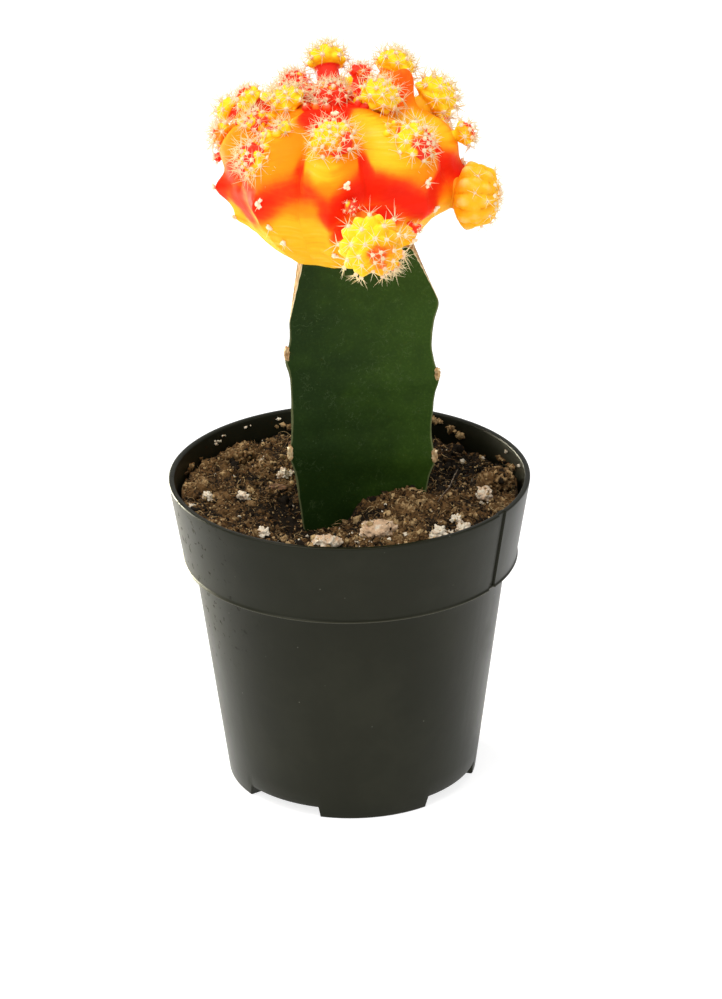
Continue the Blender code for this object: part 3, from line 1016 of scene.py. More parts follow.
STAINS = {"perlite_middle": 1.0, "perlite_front": 0.5, "perlite_far_right": 0.7, "perlite_left": 0.3}
LEAST_STAIN = 0.2
CRUMB_STRINGS = (
    WallString(151, 3.2, 137, 1.2, 26),
    WallString(-154, 0.9, -160, 0.6, 8),
    WallString(118, 0.6, 98, 0.6, 14),
    WallString(-104, 0.4, -122, 0.4, 5),
)
FLECK_STRINGS = (
    WallString(-127, 1.4, -134, 2.6, 9),
    WallString(-143, 2.7, -144, 2.8, 2),
    WallString(-151, 2.9, -157, 3.1, 6),
    WallString(114, 2.2, 112, 3.4, 5),
    WallString(101, 1.5, 99, 2.6, 6),
)


@dataclass
class PottingMix:
    """Peat with crumbs, fibres, bark chips, twig and chalky grains, filled to below the rim.

    The patch of painted shade behind the stem has the (x, y) of its middle and how far it spreads
    along each, in millimetres.
    """

    pot: Pot
    stem_axis: Vector
    gap: float = 0.3 * MM
    columns: int = 430
    rings: int = 88
    reach: float = 2.4 * MM
    plug_levels: tuple[float, ...] = (0.0, 0.001, 0.35, 0.68, 0.74, 1.0)
    plug_top: float = 8.0 * MM
    lump_level: float = 1.95
    lump_scale: float = 0.74
    shade_height: float = 52.5
    stem_clear: float = 7.0 * MM
    lift: float = 0.15 * MM
    below_rim: float = 1.2 * MM
    crumbs: int = 1500
    dust: int = 3900
    fibres: int = 2400
    specks: int = 90
    painted_shade: tuple[float, float, float, float] = (16.0, 9.0, 9.0, 10.0)
    painted_shade_depth: float = 0.75

    def __post_init__(self) -> None:
        """Reads the surface of the mix from its construction node, clear of the sockets in it."""
        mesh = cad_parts["soil"].data
        centres = np.array([f.center[:] for f in mesh.polygons])
        upward = np.array([f.normal.z for f in mesh.polygons]) > 0.6
        kept = upward & (centres[:, 2] > self.pot.collar_bottom)
        for name in nodes_of("perlite", "bark", "clod", "rootstock"):
            low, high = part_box(name)
            kept &= ~np.all((centres[:, :2] > low[:2]) & (centres[:, :2] < high[:2]), 1)
        self.samples = centres[kept]
        self.radius = np.hypot(*node_points("soil")[:, :2].T).max()
        self.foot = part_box("soil")[0].z

    def height(self, places: Array) -> Array:
        """Measures the smooth height of the mix.

        Args:
            places: the points to measure at, by their x and y.

        Returns:
            The height at each.
        """
        away = ((places[:, None, :2] - self.samples[None, :, :2]) ** 2).sum(-1)
        weight = np.exp(-away / self.reach**2) + 1e-12 / (away + MM**2)
        return (weight * self.samples[None, :, 2]).sum(1) / weight.sum(1)

    def lumps(self, places: Array) -> Array:
        """Measures how far crumbs and clods rise above the smooth height.

        Args:
            places: the points to measure at, by their x and y.

        Returns:
            The rise at each.
        """
        flat = np.column_stack([places[:, :2], np.zeros(len(places))])
        clods = 1.2 * pebbled(flat, 2.9 * MM) + 0.9 * pebbled(flat, 1.6 * MM)
        clods = clods + 0.9 * rough(flat, 4.5 * MM, 2)
        bits = pebbled(flat, 0.9 * MM) + 0.45 * rough(flat, 0.5 * MM, 2)
        return (clods + bits - self.lump_level) * self.lump_scale * MM

    def surface(self) -> Array:
        """Makes the top of the mix, from the wall inwards.

        Returns:
            The points by ring, column and axis.
        """
        turn = np.radians(np.arange(self.columns) * 360 / self.columns)
        flat = plan(self.radius * np.linspace(1, 0.01, self.rings)[:, None], turn).reshape(-1, 2)
        height = self.height(flat) + self.lumps(flat)
        return np.column_stack([flat, height]).reshape(self.rings, self.columns, 3)

    def tone(self, points: Array) -> Array:
        """Tones the mix with painted shade: darker in hollows, lower down and behind the stem, and
        patchy.

        Args:
            points: the points to shade.

        Returns:
            How pale each is, from about 0 to 1.
        """
        # painted shade: darker below the smooth height and lower down, paler above it
        rise = (points[:, 2] - self.height(points)) / MM
        depth = (points[:, 2] / MM - self.shade_height).clip(-2.5, 1.5)
        # painted shade in a patch behind the stem
        behind = (points[:, :2] / MM - self.painted_shade[:2]) / self.painted_shade[2:]
        painted_shade = self.painted_shade_depth * np.exp(-(behind**2).sum(1))
        patches = 0.40 * rough(points, 6 * MM, 3)
        return 0.40 + 0.38 * rise.clip(-1.5, 1.2) + 0.10 * depth + patches - painted_shade

    def build_plug(self) -> None:
        """Makes the body of the mix, down to the floor of the pot."""
        top = self.surface()
        turn = np.radians(np.arange(self.columns) * 360 / self.columns)
        edges = []
        for share in self.plug_levels:
            height = self.foot + share * (self.pot.collar_bottom + self.plug_top - self.foot)
            radius = self.inner_radius(height) * (1.0 if share else 0.5)
            edges.append(np.column_stack([plan(radius, turn), np.full(self.columns, height)]))
        points, faces = lofted(np.concatenate([np.array(edges), top]))
        sketch = MeshSketch()
        sketch.add(points, *faces, tone=self.tone(points))
        settle(sketch.piece("potting_mix", self.peat), "potting_mix", "soil")

    def inner_radius(self, height: float) -> float:
        """Measures the mix against the pot's inside.

        Args:
            height: where.

        Returns:
            Its radius there.
        """
        if height < self.pot.collar_bottom - self.pot.step[0]:
            return self.pot.wall_radius(height) - self.pot.wall - self.gap
        share = (height - self.pot.collar_bottom) / self.pot.collar_depth
        low = self.pot.collar_foot_radius - self.pot.lip_width
        high = self.pot.rim_radius - self.pot.lip_width
        return low + min(max(share, 0.0), 1.0) * (high - low) - self.gap

    def scatter(self, count: int, chance: Chance) -> Array:
        """Scatters places on the mix, outside the stem.

        Args:
            count: how many.
            chance: where they are drawn from.

        Returns:
            The points.
        """
        radius = self.radius * np.sqrt(chance.uniform(0, 0.98, 3 * count))
        turn = chance.uniform(0, 2 * math.pi, 3 * count)
        flat = plan(radius, turn)
        away = np.hypot(flat[:, 0] - self.stem_axis.x, flat[:, 1] - self.stem_axis.y)
        flat = flat[away > self.stem_clear][:count]
        return np.column_stack([flat, self.height(flat) + self.lumps(flat)])

    def add_bits(
        self,
        sketch: MeshSketch,
        places: Array,
        sizes: Array,
        detail: int,
        chance: Chance,
        **values: Array,
    ) -> None:
        """Adds rough bits at these places.

        Args:
            sketch: what they are added to.
            places: their centres.
            sizes: their mean radii.
            detail: how finely each is divided.
            chance: where their shapes and turns come from.
            values: by attribute name, a number for each bit.
        """
        shape = ball(detail)
        count = len(places)
        knobs = 1 + 0.28 * chance.normal(size=(count, len(shape[0]), 1)).clip(-1.6, 1.6)
        squash = chance.uniform(0.55, 1.35, (count, 1, 3))
        local = shape[0][None] * knobs * squash * sizes[:, None, None]
        turned = np.einsum("nij,nvj->nvi", random_turns(count, chance), local)
        sketch.add_copies(shape, turned + places[:, None], **values)

    def build_crumbs(self) -> None:
        """Makes the loose crumbs on the mix and those stuck to the inside of the pot."""
        chance = np.random.default_rng(11)
        coarse = MeshSketch()
        places = self.scatter(self.crumbs, chance)
        sizes = chance.gamma(3.2, 0.115, len(places)).clip(0.16, 0.9) * MM
        # the crumbs take the painted shade of the mix under them, with random tone
        tone = self.tone(places) + chance.normal(0.08, 0.36, len(places))
        self.add_bits(coarse, places, sizes, 2, chance, tone=tone)
        settle(coarse.piece("peat_crumbs", self.peat), "potting_mix")
        fine = MeshSketch()
        places = self.scatter(self.dust, chance)
        places[:, 2] += self.lift
        sizes = chance.uniform(0.12, 0.28, len(places)) * MM
        self.add_bits(fine, places, sizes, 1, chance, tone=chance.normal(0.5, 0.35, len(places)))
        stuck = self.wall_places(CRUMB_STRINGS, chance)
        sizes = chance.uniform(0.22, 0.6, len(stuck)) * MM
        self.add_bits(fine, stuck, sizes, 2, chance, tone=chance.normal(0.75, 0.3, len(stuck)))
        settle(fine.piece("peat_dust", self.peat), "potting_mix")

    def wall_places(self, strings: tuple[WallString, ...], chance: Chance) -> Array:
        """Places on the inside of the pot above the mix, along strings.

        Args:
            strings: where they run.
            chance: where the scatter comes from.

        Returns:
            The points.
        """
        rows = np.repeat([astuple(string) for string in strings], [string.count for string in strings], 0)
        azimuth, rise, last_azimuth, last_rise, _ = rows.T
        share = chance.uniform(0, 1, len(rows))
        azimuth = azimuth + share * (last_azimuth - azimuth) + chance.normal(0, 0.7, len(rows))
        rise = rise + share * (last_rise - rise) + chance.normal(0, 0.22, len(rows))
        turn = np.radians(azimuth)
        flat = plan(self.radius, turn)
        height = np.minimum(self.height(flat) + rise * MM, self.pot.height - self.below_rim)
        inner = np.array([self.inner_radius(z) for z in height]) + self.lift
        return np.column_stack([flat / self.radius * inner[:, None], height])

    def build_fibres(self) -> None:
        """Makes the fine roots and fibres that curl out of the mix."""
        chance = np.random.default_rng(12)
        roots = self.scatter(self.fibres, chance)
        count, steps = len(roots), np.linspace(0, 1, 6)
        turn = chance.uniform(0, 2 * math.pi, count)
        ahead = np.stack([np.cos(turn), np.sin(turn), chance.normal(0.05, 0.25, count)], -1)
        side = np.stack([-np.sin(turn), np.cos(turn), np.zeros(count)], -1)
        length = chance.gamma(2.6, 0.50, count).clip(0.5, 4.5) * MM
        curl = chance.normal(0, 0.32, count)[:, None, None]
        hump = np.abs(chance.normal(0, 0.22, count))[:, None, None] * [0, 0, 1]
        arch = np.sin(math.pi * steps)[None, :, None]
        shape = (steps[None, :, None] - 0.5) * ahead[:, None] + arch * (side[:, None] * curl + hump)
        paths = roots[:, None] + shape * length[:, None, None]
        edge = np.hypot(paths[..., 0], paths[..., 1])
        paths[..., :2] *= np.minimum(1, (self.radius - 0.1 * MM) / edge)[..., None]
        thick = chance.uniform(0.03, 0.085, count)[:, None] * MM
        radii = thick * np.array([0.5, 1, 1, 0.9, 0.7, 0.3])[None]
        sketch = MeshSketch()
        add_strands(sketch, paths, radii, tone=chance.normal(0.62, 0.35, count))
        settle(sketch.piece("peat_fibres", self.peat), "potting_mix")

    def build_specks(self) -> None:
        """Makes the smallest chalky grains, and the flecks dried on the inside of the pot."""
        chance = np.random.default_rng(13)
        sketch = MeshSketch()
        places = self.scatter(self.specks, chance)
        places[:, 2] += 0.1 * MM
        sizes = chance.gamma(2.5, 0.09, len(places)).clip(0.1, 0.6) * MM
        self.add_bits(sketch, places, sizes, 2, chance)
        for node in nodes_of("perlite"):
            low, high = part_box(node)
            count = round((high.x - low.x) * (high.y - low.y) / MM**2 * 0.5)
            places = chance.normal(0, 0.42, (count, 3)) * np.array(high - low) + np.array(low + high) / 2
            places[:, 2] = self.height(places) + self.lumps(places) + self.lift
            sizes = chance.gamma(3.0, 0.08, count).clip(0.12, 0.6) * MM
            near = np.hypot(places[:, 0], places[:, 1]) < self.radius - sizes
            self.add_bits(sketch, places[near], sizes[near], 2, chance)
        flecks = self.wall_places(FLECK_STRINGS, chance)
        self.add_bits(sketch, flecks, chance.uniform(0.12, 0.26, len(flecks)) * MM, 2, chance)
        settle(sketch.piece("perlite_specks", self.chalk), "perlite")

    def build_litter(self) -> None:
        """Makes the crumbs that lie on the grains and hang all over the clods."""
        chance = np.random.default_rng(14)
        sketch = MeshSketch()
        for node in nodes_of("perlite", "clod", "bark"):
            clod = node.startswith("clod_")
            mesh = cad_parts[node].data
            shown = [f for f in mesh.polygons if f.normal.z > -0.3]
            areas = np.array([f.area for f in shown])
            count = round(areas.sum() / MM**2 * (2.6 if clod else 0.6))
            picked = chance.choice(len(shown), count, p=areas / areas.sum())
            corners = np.array([[mesh.vertices[i].co[:] for i in shown[f].vertices[:3]] for f in picked])
            share = chance.dirichlet((1, 1, 1), count)
            places = (corners * share[..., None]).sum(1)
            sizes = chance.gamma(3.0, 0.11 if clod else 0.055, count).clip(0.08, 0.8) * MM
            tone = chance.normal(0.5 if clod else 0.9, 0.3, count)
            self.add_bits(sketch, places, sizes, 2, chance, tone=tone)
        settle(sketch.piece("peat_litter", self.peat), "potting_mix")

    def build_grain(self, node: str, finish: Material, slot: str, roughness: float) -> None:
        """Makes a finer copy of a grain, chip or clod from its construction node.

        Args:
            node: the construction node.
            finish: its material.
            slot: its material slot.
            roughness: how rough it is, in millimetres.
        """
        shape = bmesh.new()
        shape.from_mesh(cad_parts[node].data)
        bmesh.ops.remove_doubles(shape, verts=shape.verts, dist=0.005 * MM)
        for _ in range(2):
            bmesh.ops.subdivide_edges(shape, edges=shape.edges, cuts=1, use_grid_fill=True, smooth=0.6)
        shape.normal_update()
        points = np.array([v.co[:] for v in shape.verts])
        normals = np.array([v.normal[:] for v in shape.verts])
        rise = 0.8 * (pebbled(points, 1.1 * MM) - 0.5) + 0.5 * (pebbled(points, 0.6 * MM) - 0.5)
        rise = rise + 0.6 * rough(points, 0.45 * MM)
        points = points + normals * (roughness * rise * MM)[:, None]
        shape.verts.ensure_lookup_table()
        for vertex, point in zip(shape.verts, points):
            vertex.co = point
        mesh = mesh_from(shape, f"{node}_fine")
        # painted shade: the tone follows the bumps, darker in the hollows and paler on the knobs
        set_values(mesh, "tone", 0.55 + 0.5 * rise)
        set_values(mesh, "stain", np.full(len(points), STAINS.get(node, LEAST_STAIN)))
        mesh.materials.append(finish)
        mesh.shade_smooth()
        settle(linked(f"{node}_fine", mesh), slot, node)

    def build_twig(self) -> None:
        """Makes the thin dry twig along the middle of its construction node."""
        points = node_points("twig")
        middle = points.mean(0)
        along = np.linalg.svd(points - middle)[2][0]
        share = (points - middle) @ along
        slices = np.array_split(points[np.argsort(share)], 7)
        path = np.array([part.mean(0) for part in slices])
        path = middle + (path - middle) * [[1.25], [1.1], [1], [1], [1], [1.1], [1.25]]
        path = path + np.random.default_rng(15).normal(0, 0.12 * MM, path.shape)
        sketch = MeshSketch()
        add_strands(sketch, path[None], np.array([[0.7, 1.0, 0.9, 1.1, 0.9, 0.8, 0.5]]) * 0.14 * MM)
        finish = Bark("dry_wood", (0.055, 0.035, 0.020), (0.230, 0.160, 0.100)).material()
        settle(sketch.piece("twig_fine", finish), "twig", "twig")

    def build(self) -> None:
        """Makes the mix and everything that lies in it."""
        self.peat, self.chalk, bark = Peat().material(), Chalk().material(), Bark().material()
        self.build_plug()
        self.build_crumbs()
        self.build_fibres()
        self.build_specks()
        self.build_litter()
        kinds = {
            "perlite": (self.chalk, "perlite", 0.9),
            "bark": (bark, "bark", 0.12),
            "clod": (self.peat, "peat_clod", 1.3),
        }
        for node in nodes_of(*kinds):
            self.build_grain(node, *kinds[node.split("_")[0]])
        self.build_twig()


# The rootstock


@dataclass(frozen=True)
class StemRib:
    """One edge of the stem: where it stands, its areoles and how its top was pared, in mm.

    The pared face starts at a height, reaches a depth at the graft, and is turned round by an angle.
    The waist is how far the edge draws in between two areoles. Each areole has its height, how far
    below it the edge swells most, and how much.
    """

    azimuth: float
    reach: float
    areoles: tuple[Triple, ...]
    pared_from: float
    pared_depth: float
    pared_turn: float
    waist: float


@dataclass
class Rootstock:
    """The green three-ribbed stem from the mix up to the graft, with its sizes in mm.

    The waist has its spread, and how far above an areole it lies. The edge width is how far from a
    rib's tip the skin is horny, and the rounding is what the smoothed tip keeps of its reach.
    """

    ribs: tuple[StemRib, ...] = (
        StemRib(-171, 13.6, ((86.0, 0.9, 0.9), (71.0, 0.9, 0.9), (57.0, 0.9, 0.9)), 89.0, 2.8, 0, 0.5),
        StemRib(-51, 14.5, ((82.0, 1.1, 1.05), (63.5, 0.4, 0.8)), 87.5, 2.8, -17, 0.0),
        StemRib(69, 14.6, ((90.3, 0.9, 0.9), (76.3, 0.9, 0.9), (60.8, 0.7, 0.8)), 90.1, 4.4, 17, 0.5),
    )
    narrowing: float = 0.34
    hollow: float = 1.0
    bump_spread: float = 2.3
    waist: tuple[float, float] = (3.0, 5.5)
    edge_width: float = 1.15
    rounding: float = 0.985
    not_pared: float = -9.0
    pad: Triple = (0.50, 0.46, 1.35)
    side_points: int = 32
    levels: int = 180

    def __post_init__(self) -> None:
        """Reads the stem's ends and its axis from its construction node."""
        low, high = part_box("rootstock")
        self.foot, self.graft = low.z / MM, high.z / MM
        reaches = [self.reach(rib, np.array([self.foot])) for rib in self.ribs]
        tips = np.array([heading(r.azimuth, 0) * reach for r, reach in zip(self.ribs, reaches)])
        ring = node_points("rootstock")
        ring = ring[ring[:, 2] < low.z + 0.01 * MM]
        support = [(ring @ unit(tip)).max() / MM - self.rounding * np.linalg.norm(tip) for tip in tips]
        axis = np.linalg.lstsq(unit(tips)[:, :2], np.array(support), rcond=None)[0]
        self.axis = Vector((*axis * MM, 0))

    def reach(self, rib: StemRib, height: Array) -> Array:
        """Measures how far a rib's edge stands from the stem's axis.

        Args:
            rib: the rib.
            height: where, in mm.

        Returns:
            The reach at each height, in mm.
        """
        climb = (height - self.foot) / (self.graft - self.foot)
        reach = rib.reach * (1 - self.narrowing * (1 - np.minimum(1, 1.8 * climb)) ** 2)
        for areole, drop, swell in rib.areoles:
            above = height - areole
            reach = reach + swell * hump(above, -drop, self.bump_spread)
            reach = reach - rib.waist * hump(above, self.waist[1], self.waist[0])
        return reach

    def rings(self) -> Array:
        """The stem's outlines about its own axis, in mm.

        Returns:
            The points by level, point and axis.
        """
        height = np.linspace(self.foot, self.graft, self.levels)
        tips = [heading(r.azimuth, 0)[None] * self.reach(r, height)[:, None] for r in self.ribs]
        share = np.arange(self.side_points) / self.side_points
        share = 0.5 - 0.5 * np.cos(math.pi * share) * (1 + 0.12 * np.sin(math.pi * share) ** 2)
        sides = []
        for tip, following in zip(tips, tips[1:] + tips[:1]):
            inward = -unit(tip + following)
            run = tip[:, None] + share[None, :, None] * (following - tip)[:, None]
            hollow = self.hollow * np.sin(math.pi * share)
            sides.append(run + inward[:, None] * hollow[None, :, None])
        rings = np.concatenate(sides, 1)
        for _ in range(3):
            rings = (np.roll(rings, 1, 1) + 2 * rings + np.roll(rings, -1, 1)) / 4
        rings[..., 2] = height[:, None]
        return rings

    def build_skin(self) -> None:
        """Makes the stem."""
        rings = self.rings()
        flat = rings.reshape(-1, 3)
        level = np.linalg.norm(flat[:, :2], axis=1)
        outward = np.column_stack([flat[:, :2] / level[:, None], 0 * level])
        edge = np.zeros(len(flat))
        for rib in self.ribs:
            tip = heading(rib.azimuth, 0)[None] * self.reach(rib, flat[:, 2])[:, None]
            away = np.linalg.norm(flat[:, :2] - tip[:, :2], axis=1)
            edge = np.maximum(edge, hump(away, 0, self.edge_width))
        # painted light: lighter towards the right (+X), and darker towards the bottom
        fresh = 0.40 + 0.036 * flat[:, 0] + 0.005 * (flat[:, 2] - 75)
        wobble = 0.22 * rough(flat, 9.0, 2) + 0.05 * rough(flat, 1.6, 3)
        flat = flat + outward * wobble[:, None]
        proud = np.full(len(flat), self.not_pared)
        for rib in self.ribs:
            lean = math.atan2(rib.pared_depth, self.graft - rib.pared_from)
            normal = heading(rib.azimuth + rib.pared_turn, math.degrees(lean))
            start = heading(rib.azimuth, 0) * self.reach(rib, np.array([rib.pared_from]))
            start[2] = rib.pared_from
            above = (flat - start) @ normal
            proud = np.maximum(proud, above)
            share = np.maximum(above, 0) / np.maximum(outward @ normal, 0.2)
            flat = flat - outward * share[:, None]
        points, faces = lofted(flat.reshape(rings.shape))
        ends = np.zeros(2)
        sketch = MeshSketch()
        sketch.add(
            points * MM + np.array(self.axis),
            *faces,
            edge=np.append(edge, ends),
            fresh=np.append(fresh, ends),
            proud=np.append(proud, ends + self.not_pared),
            pad=0.0,
        )
        self.add_pads(sketch)
        settle(sketch.piece("stem", StemSkin().material()), "rootstock_skin", "rootstock")

    def pads(self) -> list[tuple[StemRib, float]]:
        """The rib and height of each areole that isn't pared away."""
        pairs = [(rib, areole[0]) for rib in self.ribs for areole in rib.areoles]
        return [(rib, height) for rib, height in pairs if height < rib.pared_from]

    def add_pads(self, sketch: MeshSketch) -> None:
        """Adds the corky pads of the areoles.

        Args:
            sketch: the stem's sketch.
        """
        chance = np.random.default_rng(21)
        shape = ball(4)
        for rib, height in self.pads():
            outward = heading(rib.azimuth, 0)
            across = np.array([-outward[1], outward[0], 0])
            knobs = 1 + 0.25 * rough(shape[0] * [1, 1, 2] + height, 0.55)[:, None]
            local = shape[0] * knobs * (np.array(self.pad) * chance.uniform(0.85, 1.15, 3))
            at = outward * (self.reach(rib, np.array([height])) - 0.25) + [0, 0, height]
            points = laid_along(local, outward, across, np.array([0, 0, 1]))
            values = {"edge": 0.0, "fresh": 0.5, "proud": self.not_pared, "pad": 1.0}
            sketch.add((points + at) * MM + np.array(self.axis), shape[1], **values)

    def build_stubs(self) -> None:
        """Makes the few short spines left on the areoles."""
        bed = SpineBed(seed=22, wool=0.4)
        for rib, height in self.pads():
            outward = heading(rib.azimuth, 0)
            at = outward * (self.reach(rib, np.array([height])) + 0.1) + [0, 0, height + 0.9]
            bed.areole(at * MM + np.array(self.axis), outward, 0.28 * MM, 3, 0.6 * MM)
        settle(bed.piece("stem_spines"), "spine")


# Spines and wool


@dataclass
class SpineBed:
    """Areoles gathered for one piece: a tuft of wool each, with spines round it.

    The spines splay this many degrees from straight out, and taper over steps along their length.
    """

    seed: int
    wool: float = 1.0
    thickness: float = 0.057 * MM
    splay: float = 62.0
    steps: tuple[float, ...] = (0.0, 0.4, 0.8, 1.0)
    taper: tuple[float, ...] = (1.25, 0.85, 0.42, 0.08)
    knots: int = 9

    def __post_init__(self) -> None:
        """Starts the empty bed."""
        self.chance = np.random.default_rng(self.seed)
        self.sketch = MeshSketch()
        self.tuft = ball(2)

    def areole(
        self, at: Array, outward: Array, size: float, spines: int, length: float, blush: float = 0.3
    ) -> None:
        """Adds an areole.

        Args:
            at: the point on the skin that it grows from.
            outward: the way that the skin faces there.
            size: the radius of its wool.
            spines: how many it has.
            length: their mean length.
            blush: how pink its wool is.
        """
        chance = self.chance
        across, beside = square_to(outward)
        knobs = chance.uniform(0.72, 1.28, (len(self.tuft[0]), 1))
        local = self.tuft[0] * knobs * size * np.array([1, 1, 0.75])
        wool = at + laid_along(local, across, beside, outward)
        self.sketch.add(wool, self.tuft[1], wool=self.wool, blush=blush)
        if not spines:
            return
        turn = 2 * math.pi * (np.arange(spines) + chance.normal(0, 0.16, spines)) / spines
        turn = turn + chance.uniform(0, 2 * math.pi)
        tilt = np.radians(chance.normal(self.splay, 11, spines))
        ahead = circle(tilt, outward, circle(turn, across, beside))
        reach = length * chance.normal(1, 0.20, spines).clip(0.5, 1.5)
        steps = np.array(self.steps)[None, :, None]
        bend = chance.normal(0, 0.09, (spines, 3)) + 0.10 * outward
        run = steps * ahead[:, None] + steps**2 * bend[:, None]
        paths = at + 0.3 * size * outward + reach[:, None, None] * run
        slender = min(1.0, 0.4 + length / (3 * MM))
        radii = self.thickness * chance.uniform(0.8, 1.25, (spines, 1)) * slender * np.array(self.taper)
        add_strands(self.sketch, paths, radii, wool=np.zeros(spines), blush=np.zeros(spines))

    def felt(self, at: Array, outward: Array, down: Array, size: float, spines: int) -> None:
        """Adds a long tuft of felt, as on an old rib.

        Args:
            at: its middle on the skin.
            outward: the way that the skin faces there.
            down: the way along the rib, towards the root.
            size: half its width.
            spines: how many short spines it has.
        """
        side = np.cross(outward, down)
        for _ in range(self.knots):
            shift = self.chance.normal(0, 0.42, 3).clip(-0.9, 0.9) * [0.7, 1.35, 0.35]
            place = at + size * (shift[0] * side + shift[1] * down + (shift[2] + 0.2) * outward)
            self.areole(place, outward, size * self.chance.uniform(0.4, 0.62), 0, 0.0, 0.1)
        for _ in range(spines):
            way = unit(0.7 * down + 0.5 * outward + self.chance.normal(0, 0.45, 3))
            self.areole(at + 0.3 * size * outward, way, 0.3 * size, 1, 2.4 * size, 0.1)

    def piece(self, name: str) -> Piece:
        """Makes the piece."""
        material = bpy.data.materials.get("spine_and_wool") or SpineAndWool().material()
        return self.sketch.piece(name, material)


# The scion


@dataclass(frozen=True)
class ScionRib:
    """One rib of the scion: its crest, the groove after it, its girth and how red it is."""

    crest: float
    groove: float
    girth: float = 1.0
    crest_red: float = 0.8
    groove_red: float = 0.7


@dataclass(frozen=True)
class SkinBand:
    """A swelling or waist all round the scion: its height and spread in degrees, and its rise in mm.

    Even is what the grooves keep of the rise at the crests.
    """

    elevation: float
    spread: float
    rise: float
    even: float


@dataclass(frozen=True)
class Mound:
    """A swelling of the skin under an offset: its middle, its rise in mm and its spread in degrees."""

    azimuth: float
    elevation: float
    rise: float
    spread: float


@dataclass(frozen=True)
class RedApron:
    """A patch of red below the girdle, in degrees: its middle and spread, and its soft edges."""

    azimuth: float
    spread: float
    bottom: tuple[float, float]
    top: tuple[float, float]
    strength: float

    def cover(self, azimuth: Array, elevation: Array) -> Array:
        """How red it makes the skin."""
        level = eased(elevation, *self.bottom) * (1 - eased(elevation, *self.top))
        return self.strength * (hump(azimuth, self.azimuth, self.spread) * level)


